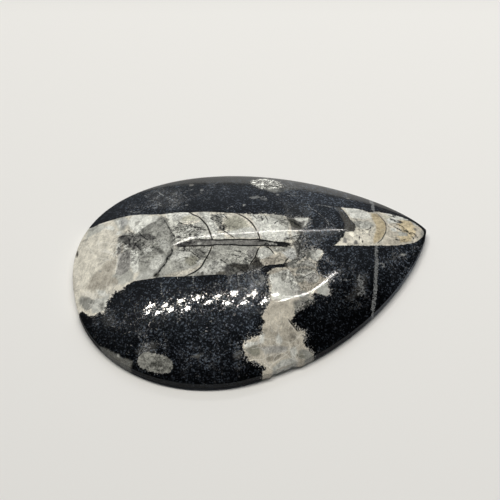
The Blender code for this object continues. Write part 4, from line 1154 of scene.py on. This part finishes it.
LIMESTONE_BASE = Crystal(B, 9, 1, ())
LIMESTONE = (
    Crystal(L, 50, 1.2, ((-9, -8), (-1, -8.6), (-0.4, -11), (-1.2, -13.6), (-4, -14.4), (-8, -13.2),
        (-9.4, -10.4))),
    Crystal(I, 112, 0.3, ((-1.7, -10.1), (-0.6, -10.3), (-0.5, -11.5), (-1.5, -11.7))),
    Crystal(L, 96, 0.3, ((-4.4, -9.4), (-3.8, -9.8), (-3.7, -12.8), (-4.8, -13.2), (-4.5, -11.4))),
    Crystal(S, 88, 0.4, dot(-2.6, -11.8, 0.8)),
    Crystal(S, 74, 0.4, dot(-6.8, -12, 0.9, 0.6, 60)),
    Crystal(T, 70, 0.5, ((24.3, 8.1), (25.3, 7.8), (25.4, 5.2), (26, 2.7), (26.3, 0.7), (26.1, -0.8), (24.9, -1.5),
        (23.3, -1.5), (23.4, 0.1), (24.1, 1.7), (24, 4.1), (24, 6.7))),
    Crystal(G, 96, 0.35, ((-42.6, -13), (-40.8, -14.6), (-39.2, -16.6), (-37.4, -18.6), (-35.8, -20),
        (-36.6, -21.4), (-39.6, -18.6), (-42.2, -15.2))),
    Crystal(W, 160, 0.25, dot(-38.6, -17.5, 0.32)),
    Crystal(S, 44, 1.2, ((-20.4, 29), (-16, 29.6), (-12.6, 27), (-12, 22), (-14, 19), (-19, 20),
        (-20.4, 24))),
    Crystal(I, 96, 0.3, ((3.4, 16.2), (4.6, 16.5), (5.6, 16.4), (6.2, 15.6), (5.2, 15.2), (4, 15.4))),
    Crystal(I, 84, 0.35, ((6.4, 15.4), (7.8, 14.2), (7.1, 13.5), (5.9, 14.8))),
    Crystal(I, 150, 0.25, dot(1.3, 13.3, 0.45, 0.6, 70)),
    Crystal(I, 110, 0.3, dot(11, 15.8, 0.4)),
    Crystal(S, 112, 0.45, dot(-8.7, 27.8, 0.55)),
    Crystal(S, 96, 0.4, dot(-6.8, 24, 0.6, 0.6, 60)),
    Crystal(S, 78, 0.5, dot(-14.1, 25, 0.9)),
    Crystal(W, 126, 0.3, dot(28.8, 12.1, 0.55, 0.55, -10)),
    Crystal(W, 190, 0.25, dot(36.1, -8.8, 0.6, 0.35, -5)),
    Crystal(G, 116, 0.9, ((7.6, 20), (13.4, 20.4), (13, 17.4), (10.4, 17))),
    Crystal(G, 66, 1, ((12, 19.4), (17, 19.4), (17.6, 17.8), (12, 17.2))),
    Crystal(S, 70, 0.6, dot(-11.8, -26.8, 1.2, 0.8, 0)),
    Crystal(S, 78, 0.3, ((-22.8, -24.2), (-21, -24), (-19.6, -24.6), (-21, -24.9))),
    Crystal(S, 58, 0.9, ((-34.6, -18.4), (-32, -17.4), (-29.2, -18.6), (-30.4, -20.4), (-33.6, -19.8))),
    Crystal(S, 42, 0.9, ((12.2, 0.6), (16.4, 0.4), (19.6, 0.2), (23, -0.4), (22.6, -2), (19, -1.8),
        (16.4, -2.4), (15, -4), (12.4, -4.6))),
    Crystal(S, 44, 0.6, ((17.4, -0.6), (19, -0.2), (20.6, 0.6), (20.4, -1.4), (18.2, -1.6))),
    Crystal(S, 36, 1.4, ((10.8, 12), (16.6, 11), (17, 5), (10.6, 5.6))),
    Crystal(G, 104, 0.4, ((4.7, -9.5), (5.8, -8.4), (6.9, -7.8), (8.6, -7), (10.1, -5.3), (11.8, -4.7),
        (10.2, -7.3), (9.7, -8.1), (8, -8.9), (6.3, -9.8))),
    Crystal(T, 62, 0.25, ((5.1, -9), (5.5, -7.8), (6.7, -6.8), (6.9, -7.2), (6, -8.1), (5.7, -9.4))),
    Crystal(G, 84, 0.6, ((4, -17.6), (9.2, -17.4), (9.6, -18.6), (6, -20), (3.6, -20.8))),
    Crystal(S, 40, 0.8, ((-40.4, -5.6), (-37, -6), (-37, -10), (-40, -9.6))),
    Crystal(S, 40, 0.8, ((20, -17), (22, -13.4), (24.6, -13.4), (23.6, -17), (19.4, -19.4), (17.2, -19.2))),
)


@dataclass(frozen=True)
class Markings:
    """The markings of the stone, which it writes on a mesh as distances, widths and colours."""

    bodies: Bodies = Bodies()
    waver: Points = ((0.7, 0.20), (2.2, 0.15))
    waver_starts: tuple[Triple, ...] = ((0.0, 0.0, 0.0), (37.0, 11.0, 5.0))
    base_height: float = 0.02

    def mark(self, mesh: bpy.types.Mesh) -> None:
        """Writes the attributes that the stone's material reads.

        Args:
            mesh: The stone, in metres.
        """
        points = np.empty(len(mesh.vertices) * 3)
        mesh.vertices.foreach_get("co", points)
        points = points.reshape(-1, 3) / MM
        on_base = points[:, 2] < self.base_height
        plan = Plan(points[:, :2])
        depth = np.where(on_base, plan.body(self.bodies.on_base()), plan.body(self.bodies.on_top()))
        ragged = np.where(on_base, 0.4, 0.06 + plan.spots(RAGGED))
        self._store(mesh, "calcite", np.stack([depth, ragged, plan.spots(DUST_AND_SHEEN)], 1))
        self._store(mesh, "grain", np.stack([plan.spots(CRACKED), plan.spots(THREADED), plan.spots(WISPY)], 1))
        for name, strokes in {
            "walls": SEPTA + TUBE_WALLS + TIP_SEPTUM,
            "cracks": CRACKS,
            "veins": VEINS,
            "threads": THREADS,
        }.items():
            lines = plan.strokes(strokes)
            lines[on_base] = (Plan.FAR_OFF, Plan.FAR_OFF, 0.0)
            self._store(mesh, name, lines)
        wavered = Plan(plan.places + self._shifts(points))
        for name, base, crystals in (
            ("calcite_tint", CALCITE_BASE, CALCITE),
            ("limestone_tint", LIMESTONE_BASE, LIMESTONE),
        ):
            tint = wavered.painted(base, crystals)
            tint[on_base] = base.colour
            self._store(mesh, name, tint)

    def _shifts(self, points: np.ndarray) -> np.ndarray:
        """Small smooth shifts on the plan, so that the crystals' sides are not ruled lines."""
        shifts = np.zeros((len(points), 2))
        for scale, size in self.waver:
            for way, start in enumerate(self.waver_starts):
                shifts[:, way] += [size * noise.noise(Vector(point) * scale + Vector(start)) for point in points]
        return shifts

    @staticmethod
    def _store(mesh: bpy.types.Mesh, name: str, rows: np.ndarray) -> None:
        """Writes three numbers for each point as a vector attribute."""
        attribute = mesh.attributes.new(name, "FLOAT_VECTOR", "POINT")
        attribute.data.foreach_set("vector", rows.astype(np.float32).ravel())


# ---- The finish ----


@dataclass(frozen=True)
class StoneFinish:
    """One material for the whole stone: its polished dome, its ground wall and its sawn base.

    The flakes are crystal faces too small to model, which break up what the polish mirrors. The shoulder is the
    slight flattening that the polishing leaves just inside the rim.
    """

    girdle: float = 2.4
    sawn_below: float = 0.04
    limestone_polish: float = 0.028
    calcite_polish: float = 0.03
    wall_roughness: float = 0.85
    base_roughness: float = 0.7
    wall_grey: Triple = (0.010, 0.011, 0.013)
    base_grey: Triple = (0.050, 0.052, 0.056)
    thread_white: Triple = (0.84, 0.83, 0.79)
    vein_grey: Triple = (0.210, 0.220, 0.225)
    # Painted light on the ground wall: its grey is made up to twelve times lighter towards the point, between these
    # places along the length in millimetres.
    wall_painted_light: float = 11.0
    wall_light_from: float = 12.0
    wall_light_to: float = 38.0
    saw_stretch: Triple = (0.08, 2.2, 1.0)
    fibre_stretch: Triple = (0.35, 2.4, 1.0)
    fibre_turn: float = -1.13
    scratch_stretch: Triple = (0.05, 1.9, 0.3)
    scratch_turn: float = 1.25
    grain_height: float = 8.0e-6
    grit_height: float = 0.012
    saw_height: float = 2.0
    glint: float = 1.36
    flake_cells: float = 4.2
    flake_tilt: float = 2.4
    shoulder: float = 0.055
    shoulder_start: float = 0.4
    shoulder_bend: float = 0.8
    shoulder_end: float = 3.6

    def material(self) -> bpy.types.Material:
        """Makes the material."""
        material = bpy.data.materials.new("polished_limestone")
        material.use_nodes = True
        nodes = Nodes(material.node_tree)
        shader = material.node_tree.nodes["Principled BSDF"]
        place = nodes.node("ShaderNodeTexCoord", None, None, "Object")
        place = nodes.vector("MULTIPLY", place, (1 / MM, 1 / MM, 1 / MM))
        along, _, height = nodes.separate(place)
        on_base = height < self.sawn_below
        edge = nodes.noise(place, 1.6, 5.0) - 0.5
        grit = nodes.noise(place, 5.0, 3.0) - 0.5
        depth, ragged, dust_and_sheen = nodes.separate(nodes.stored("calcite"))
        cracked, threaded, wispy = nodes.separate(nodes.stored("grain"))
        specks = nodes.noise(place, 2.3, 2.0) - 0.5
        frayed = depth + edge * ragged * 2 + specks * (0.1 + ragged * 2.6) + grit * (0.12 + ragged * 0.5)
        is_calcite = (frayed / (0.07 + ragged * 0.16)).step(-1.0, 1.0)
        is_polished = (height + grit * 0.2).step(self.girdle - 0.08, self.girdle + 0.02)

        calcite = self._calcite(nodes, place, edge, grit, cracked, threaded)
        far_off = 1.6
        torn = (1.0 + depth / (0.2 + ragged)).most(-far_off) + far_off
        torn = torn * (ragged * 2.0).least(1.0) - far_off
        limestone = self._limestone(nodes, place, edge, grit, dust_and_sheen, wispy, torn)
        dark_walls = self._line(nodes, "walls", grit * 0.14 + 0.04)
        cracks = self._line(nodes, "cracks", edge * 0.4 + grit * 0.4 + specks * 0.3 + 0.02)
        cracks = cracks * (0.85 + edge * 1.6 + specks).most(0.3).least(0.95)
        frost = depth.step(1.3, 0.1) * ragged.least(0.8) * (specks + grit).step(-0.15, 0.2)
        calcite = nodes.scaled(calcite, (1 - 0.95 * dark_walls) * (1 - cracks) * (1 + 0.45 * frost))
        colour = nodes.mix(is_calcite, limestone, calcite)

        saw = nodes.noise(nodes.vector("MULTIPLY", place, self.saw_stretch), 1.0, 2.0) - 0.5
        ground = nodes.mix(on_base, self.wall_grey, self.base_grey)
        # Painted light: the wall's grey grows lighter towards the point, where light falls on it.
        lit_wall = 1 + self.wall_painted_light * along.step(self.wall_light_from, self.wall_light_to) * (1 - on_base)
        ground = nodes.vector("ADD", nodes.scaled(ground, lit_wall), nodes.scaled(colour, 1.25))
        ground = nodes.scaled(ground, 1 + grit * 0.7 + edge * 0.5 + saw * on_base * 0.5)
        colour = nodes.mix(is_polished, ground, colour)

        polish = self.limestone_polish + (self.calcite_polish - self.limestone_polish) * is_calcite
        dull = self.wall_roughness + (self.base_roughness - self.wall_roughness) * on_base
        grain = grit * self.grit_height + self._flakes(nodes, place) * (1 - 0.5 * is_calcite) * self.flake_tilt
        grain = grain - self._shoulder(height) + self.saw_height * saw * on_base
        bump = {"Strength": 1.0, "Distance": self.grain_height, "Height": grain}
        nodes.set(shader.inputs["Base Color"], colour)
        nodes.set(shader.inputs["Roughness"], dull + (polish - dull) * is_polished)
        nodes.set(shader.inputs["Normal"], nodes.node("ShaderNodeBump", None, bump))
        nodes.set(shader.inputs["IOR"], self.glint)
        return material

    def _shoulder(self, height: Value) -> Value:
        """How far the dome is lowered just inside the rim, in grain heights, at a height in millimetres."""
        above = (height - self.girdle - self.shoulder_start).most(0.0)
        onset = above.least(self.shoulder_bend)
        lowered = onset * onset * (0.5 / self.shoulder_bend) + above.least(self.shoulder_end) - onset
        return lowered * self.shoulder * (MM / self.grain_height)

    def _calcite(
        self, nodes: Nodes, place: Value, edge: Value, grit: Value, cracked: Value, threaded: Value
    ) -> Value:
        """The colour of the calcite: milky crystals, fibres, pale threads and fine dark cracks.

        Args:
            nodes: The tree.
            place: Where the point lies, in millimetres.
            edge: A middling noise round 0.
            grit: A fine noise round 0.
            cracked: How thick the dark cracks lie.
            threaded: How thick the pale threads lie.

        Returns:
            The colour.
        """
        warped = nodes.vector("MULTIPLY_ADD", nodes.noise(place, 0.7, 2.0, "Color"), (0.9, 0.9, 0.9), place)
        cloud = nodes.noise(place, 0.6, 6.0) - 0.5
        pits = nodes.noise(warped, 2.0, 3.0) - 0.5
        fibre = self._drawn_out(nodes, warped, self.fibre_turn, self.fibre_stretch, 3.0) - 0.5
        large, large_slope = self._faces(nodes, warped, 0.24)
        middling, middling_slope = self._faces(nodes, warped, 0.75)
        small, fine = nodes.chance(warped, 1.5) - 0.5, nodes.chance(place, 3.1) - 0.5
        shade = 1.04 + cloud * 0.8 + large * 0.16 + large_slope * 0.14
        shade = shade + (middling * 0.16 + middling_slope * 0.5) * (0.4 + cracked)
        shade = shade + small * (0.06 + 0.65 * cracked) + fine * (0.06 + 0.25 * cracked)
        shade = shade + fibre * 0.8 * (0.3 + threaded) + grit * 0.95 + pits * (0.7 + 2.6 * cracked)
        colour = nodes.scaled(nodes.stored("calcite_tint"), shade)
        crackle = nodes.cells(warped, 0.85, "Distance", "DISTANCE_TO_EDGE")
        crackle = (crackle + edge * 0.12).step(0.055, 0.005) * cracked
        crease = abs(nodes.noise(warped, 0.75, 4.0) - 0.5 + pits * 0.1).step(0.045, 0.008) * cracked
        flecks = (pits + grit * 0.5).step(0.1, 0.24) * cracked
        colour = nodes.scaled(colour, (1 - crackle * 0.6) * (1 - flecks * 0.55) * (1 - crease * 0.88))
        web = nodes.cells(warped, 0.36, "Distance", "DISTANCE_TO_EDGE")
        web = (web + grit * 0.05).step(0.05, 0.01) * threaded * (cloud + 0.5).step(0.4, 0.6)
        threads = self._line(nodes, "threads", grit * 0.3 + edge * 0.2 - 0.03)
        return nodes.mix((web * 0.4).most(threads * 0.42), colour, self.thread_white)

    def _limestone(
        self, nodes: Nodes, place: Value, edge: Value, grit: Value, dust_and_sheen: Value, wispy: Value, torn: Value
    ) -> Value:
        """The colour of the limestone: black, with grey wisps, pale veins, shell dust, a painted bluish sheen and
        scratches.

        Args:
            nodes: The tree.
            place: Where the point lies, in millimetres.
            edge: A middling noise round 0.
            grit: A fine noise round 0.
            dust_and_sheen: How thick the dust lies, and the painted sheen with it.
            wispy: How thick the wisps lie.
            torn: How near the point is to a torn edge of the calcite, below 0 far from it.

        Returns:
            The colour.
        """
        drift = nodes.noise(place, 0.33, 4.0) - 0.5
        speckle = nodes.noise(place, 2.9, 3.0) - 0.5
        uneven = (1 + drift * 1.6 + grit * 1.2 + speckle * 2.5).most(0.1)
        colour = nodes.scaled(nodes.stored("limestone_tint"), uneven)
        wisps = (edge + drift * 0.6).step(0.05, 0.26) * wispy
        grains = nodes.cells(place, 0.55, "Distance") + grit * 0.2
        grains = grains.step(0.16, 0.06) * nodes.chance(place, 0.55).step(0.78, 0.95)
        scratch = self._drawn_out(nodes, place, self.scratch_turn, self.scratch_stretch, 2.0).step(0.70, 0.74)
        hairs = abs(nodes.noise(place, 1.3, 2.0) - 0.5 + grit * 0.04).step(0.03, 0.006)
        hairs = hairs * (edge + drift).step(0.0, 0.12) * wispy
        pale = wisps * 0.035 + hairs * 0.3 + grains * 0.05 + scratch * 0.006
        dust = (speckle * 0.8 + grit * 0.9 + drift * 0.3).step(-0.02, 0.34)
        dots = nodes.chance(place, 3.1).step(0.62, 1.0)
        # Shell dust specks, and from dusty a smooth haze that is painted sheen, all a little blue.
        light = dust * dust * (0.010 + 0.09 * dust_and_sheen + 0.11 * wispy) + dust_and_sheen * (0.8 + drift + edge * 0.6) * 0.010
        light = light + dots * dots * (0.020 + 0.085 * dust_and_sheen + 0.03 * wispy) * (1 + drift * 2)
        colour = nodes.vector("ADD", colour, nodes.combine(light * 0.82 + pale, light + pale, light * 1.28 + pale))
        crumbs = (edge * 0.6 + speckle * 1.4 + torn * 0.16).step(0.10, 0.22)
        colour = nodes.mix(crumbs * 0.3, colour, self.thread_white)
        veins = self._line(nodes, "veins", edge * 0.6 + speckle * 1.1 + grit * 0.9 - 0.03)
        worn = (0.66 + edge * 1.4 + speckle * 2.6 + grit * 1.6).most(0.12)
        return nodes.mix(veins * worn, colour, self.vein_grey)

    def _flakes(self, nodes: Nodes, place: Value) -> Value:
        """The height of small flakes of the surface, most of them level and a few of them tilted."""
        chance = nodes.cells(place, self.flake_cells, "Color")
        tilt = nodes.vector("MULTIPLY_ADD", chance, (2.0, 2.0, 2.0), (-1.0, -1.0, -1.0))
        square = nodes.vector("MULTIPLY", tilt, tilt)
        tilt = nodes.vector("MULTIPLY", tilt, nodes.vector("MULTIPLY", square, square))
        offset = nodes.vector("SUBTRACT", place, nodes.cells(place, self.flake_cells, "Position"))
        return nodes.vector("DOT_PRODUCT", offset, tilt, output="Value")

    @staticmethod
    def _faces(nodes: Nodes, place: Value, scale: float) -> tuple[Value, Value]:
        """Crystal faces, at this many to the millimetre: a random number round 0, and a slope across each."""
        face = nodes.cells(place, scale, "Color")
        offset = nodes.vector("SUBTRACT", place, nodes.cells(place, scale, "Position"))
        slope = nodes.vector("SUBTRACT", face, (0.5, 0.5, 0.5))
        return nodes.separate(face)[0] - 0.5, nodes.vector("DOT_PRODUCT", offset, slope, output="Value")

    @staticmethod
    def _drawn_out(nodes: Nodes, place: Value, turn: float, stretch: Triple, detail: float) -> Value:
        """A noise turned about the vertical and stretched."""
        turned = nodes.node("ShaderNodeVectorRotate", {"rotation_type": "Z_AXIS"}, {"Vector": place, "Angle": turn})
        return nodes.noise(nodes.vector("MULTIPLY", turned, stretch), 1.0, detail)

    @staticmethod
    def _line(nodes: Nodes, name: str, torn: Value) -> Value:
        """How much of a stored line covers the point, with its edges torn by a noise round 0."""
        side, near, half = nodes.separate(nodes.stored(name))
        return (half - abs(side) + torn).step(-0.06, 0.06) * (near - half).step(0.3, 0.15)


# ---- The studio ----


@dataclass(frozen=True)
class View:
    """The camera: it looks at the stone from the near side and above."""

    azimuth_deg: float = -16.36
    elevation_deg: float = 52.0
    target: Triple = (0.886 * MM, 6.449 * MM, 0.0)
    distance: float = 360.0 * MM
    sensor: float = 36.0
    focal_share: float = 1423.3 / 500.0

    def place(self) -> None:
        """Makes the camera and gives it to the scene."""
        data = bpy.data.cameras.new("camera")
        data.sensor_width = self.sensor
        data.lens = self.sensor * self.focal_share
        data.clip_start = 0.01
        camera = bpy.data.objects.new("camera", data)
        azimuth, elevation = math.radians(self.azimuth_deg), math.radians(self.elevation_deg)
        level = math.cos(elevation)
        back = Vector((math.sin(azimuth) * level, -math.cos(azimuth) * level, math.sin(elevation)))
        camera.location = Vector(self.target) + back * self.distance
        camera.rotation_euler = back.to_track_quat("Z", "Y").to_euler()
        bpy.context.scene.collection.objects.link(camera)
        bpy.context.scene.camera = camera


@dataclass(frozen=True)
class LampRow:
    """Small round lamps at one height, all pointing at the stone."""

    places: Points
    height: float = 1.0
    radius: float = 0.016
    power: float = 0.477
    colour: Triple = (1.0, 0.965, 0.90)

    def place(self) -> None:
        """Makes the lamps."""
        data = bpy.data.lights.new("row_lamp", "AREA")
        data.shape = "DISK"
        data.size = 2 * self.radius
        data.energy = self.power
        data.color = self.colour
        for x, y in self.places:
            lamp = bpy.data.objects.new("row_lamp", data)
            lamp.location = (x, y, self.height)
            lamp.rotation_euler = lamp.location.to_track_quat("Z", "Y").to_euler()
            bpy.context.scene.collection.objects.link(lamp)


@dataclass(frozen=True)
class ThinLamp:
    """A long thin lamp along a bent line, which faces the stone."""

    line: tuple[Triple, ...]
    thickness: float
    power_per_metre: float
    colour: Triple = (1.0, 0.975, 0.93)

    def place(self) -> None:
        """Makes one rectangular light for each straight stretch."""
        stops = [Vector(stop) for stop in self.line]
        for start, end in zip(stops, stops[1:]):
            data = bpy.data.lights.new("thin_lamp", "AREA")
            data.shape = "RECTANGLE"
            data.size, data.size_y = (end - start).length, self.thickness
            data.energy = self.power_per_metre * data.size
            data.color = self.colour
            lamp = bpy.data.objects.new("thin_lamp", data)
            lamp.location = (start + end) / 2
            along = (end - start).normalized()
            back = (lamp.location - along * lamp.location.dot(along)).normalized()
            lamp.rotation_euler = Matrix((along, back.cross(along), back)).transposed().to_euler()
            bpy.context.scene.collection.objects.link(lamp)


@dataclass(frozen=True)
class Studio:
    """A pale floor with painted light and shade in its colour, a soft sky that is brightest behind the stone, and
    the lamps.
    """

    floor_size: float = 1.2
    floor_colour: Triple = (0.832, 0.836, 0.840)
    painted_light_slopes: tuple[float, float] = (0.5, 0.55)
    floor_reach: Points = ((0.2, -0.2), (0.12, -0.2))
    floor_away: Triple = (0.282, 0.959, 0.0)
    floor_fall: tuple[float, float] = (0.092, 0.15)
    painted_shade_far: float = 0.25
    sky_towards: Triple = (0.10, 0.80, 0.59)
    sky_edge: tuple[float, float] = (0.42, 0.95)
    sky_colour: tuple[float, float, float, float] = (0.90, 0.98, 1.10, 1.0)
    sky_low: float = 0.03
    sky_high: float = 0.35
    lamps: tuple[LampRow | ThinLamp, ...] = (
        LampRow(((-0.427, 0.362), (-0.327, 0.290), (-0.229, 0.265), (-0.122, 0.227), (-0.015, 0.176), (0.075, 0.149),
                 (0.179, 0.085), (0.302, 0.026)), colour=(1.0, 0.95, 0.84)),
        LampRow(((-0.452, 0.306), (-0.388, 0.247), (-0.301, 0.212), (-0.202, 0.160), (-0.076, 0.141), (0.028, 0.074),
                 (0.115, 0.031), (0.235, -0.012))),
        ThinLamp(((0.326, -0.052, 1.0), (0.521, -0.042, 1.0), (0.571, -0.005, 1.0), (0.64, 0.07, 1.0),
                  (0.70, 0.14, 1.0)), 0.014, 3.0),
        ThinLamp(((-0.137, 1.0, 0.841), (-0.015, 1.0, 0.81), (0.154, 1.0, 0.863), (0.291, 1.0, 0.91),
                  (0.45, 1.0, 0.919), (0.70, 1.0, 0.95), (0.908, 1.0, 0.894)), 0.011, 1.5),
    )

    def build(self) -> None:
        """Makes the floor, the sky and the lamps."""
        self._floor()
        self._sky()
        for lamp in self.lamps:
            lamp.place()
        bpy.context.scene.view_settings.view_transform = "Standard"

    def _floor(self) -> None:
        """A matt floor under the stone, with painted light in its colour: lighter towards the point and the far
        side, and a painted shade that darkens it to a quarter beyond about 0.1 m on the far side.
        """
        half = self.floor_size / 2
        corners = [(-half, -half, 0), (half, -half, 0), (half, half, 0), (-half, half, 0)]
        mesh = bpy.data.meshes.new("floor")
        mesh.from_pydata(corners, [], [(0, 1, 2, 3)])
        material = bpy.data.materials.new("floor")
        material.use_nodes = True
        shader = material.node_tree.nodes["Principled BSDF"]
        nodes = Nodes(material.node_tree)
        place = nodes.node("ShaderNodeTexCoord", None, None, "Object")
        # Painted shade: the floor's colour falls to a quarter away from the camera, beyond the stone.
        beyond = nodes.vector("DOT_PRODUCT", place, self.floor_away, output="Value").step(*self.floor_fall)
        # Painted light: the floor's colour grows lighter towards the point and the far side.
        level = 1.0
        for way, slope, (most, least) in zip(nodes.separate(place), self.painted_light_slopes, self.floor_reach):
            level = level + slope * way.least(most).most(least)
        level = level * (1 + (self.painted_shade_far - 1) * beyond)
        nodes.set(shader.inputs["Base Color"], nodes.scaled(self.floor_colour, level))
        shader.inputs["Roughness"].default_value = 0.7
        mesh.materials.append(material)
        floor = bpy.data.objects.new("floor", mesh)
        bpy.context.scene.collection.objects.link(floor)

    def _sky(self) -> None:
        """A sky whose brightness falls away from one direction."""
        world = bpy.data.worlds.new("studio")
        world.use_nodes = True
        bpy.context.scene.world = world
        nodes = Nodes(world.node_tree)
        direction = nodes.node("ShaderNodeTexCoord", None, None, "Generated")
        towards = nodes.vector("DOT_PRODUCT", direction, self.sky_towards, output="Value")
        strength = self.sky_low + (self.sky_high - self.sky_low) * towards.step(*self.sky_edge)
        background = world.node_tree.nodes["Background"]
        background.inputs["Color"].default_value = self.sky_colour
        nodes.set(background.inputs["Strength"], strength)


# ---- The whole ----


@dataclass
class Stone:
    """The one piece: the polished stone."""

    shape: StoneShape = field(default_factory=StoneShape)
    markings: Markings = field(default_factory=Markings)
    finish: StoneFinish = field(default_factory=StoneFinish)

    def build(self) -> bpy.types.Object:
        mesh = self.shape.mesh()
        self.markings.mark(mesh)
        piece = bpy.data.objects.new("polished_stone", mesh)
        bpy.context.scene.collection.objects.link(piece)
        mesh.materials.clear()
        mesh.materials.append(self.finish.material())
        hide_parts(STONE_NODE)
        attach(piece, BODY)
        return piece


def main() -> None:
    """Builds the studio and the stone, and reports the piece."""
    logging.basicConfig(level=logging.INFO, format="%(name)s: %(message)s")
    View().place()
    Studio().build()
    piece = Stone().build()
    triangles = sum(len(face.vertices) - 2 for face in piece.data.polygons)
    log.info("%s: %d triangles", piece.name, triangles)


if __name__ == "__main__":
    main()
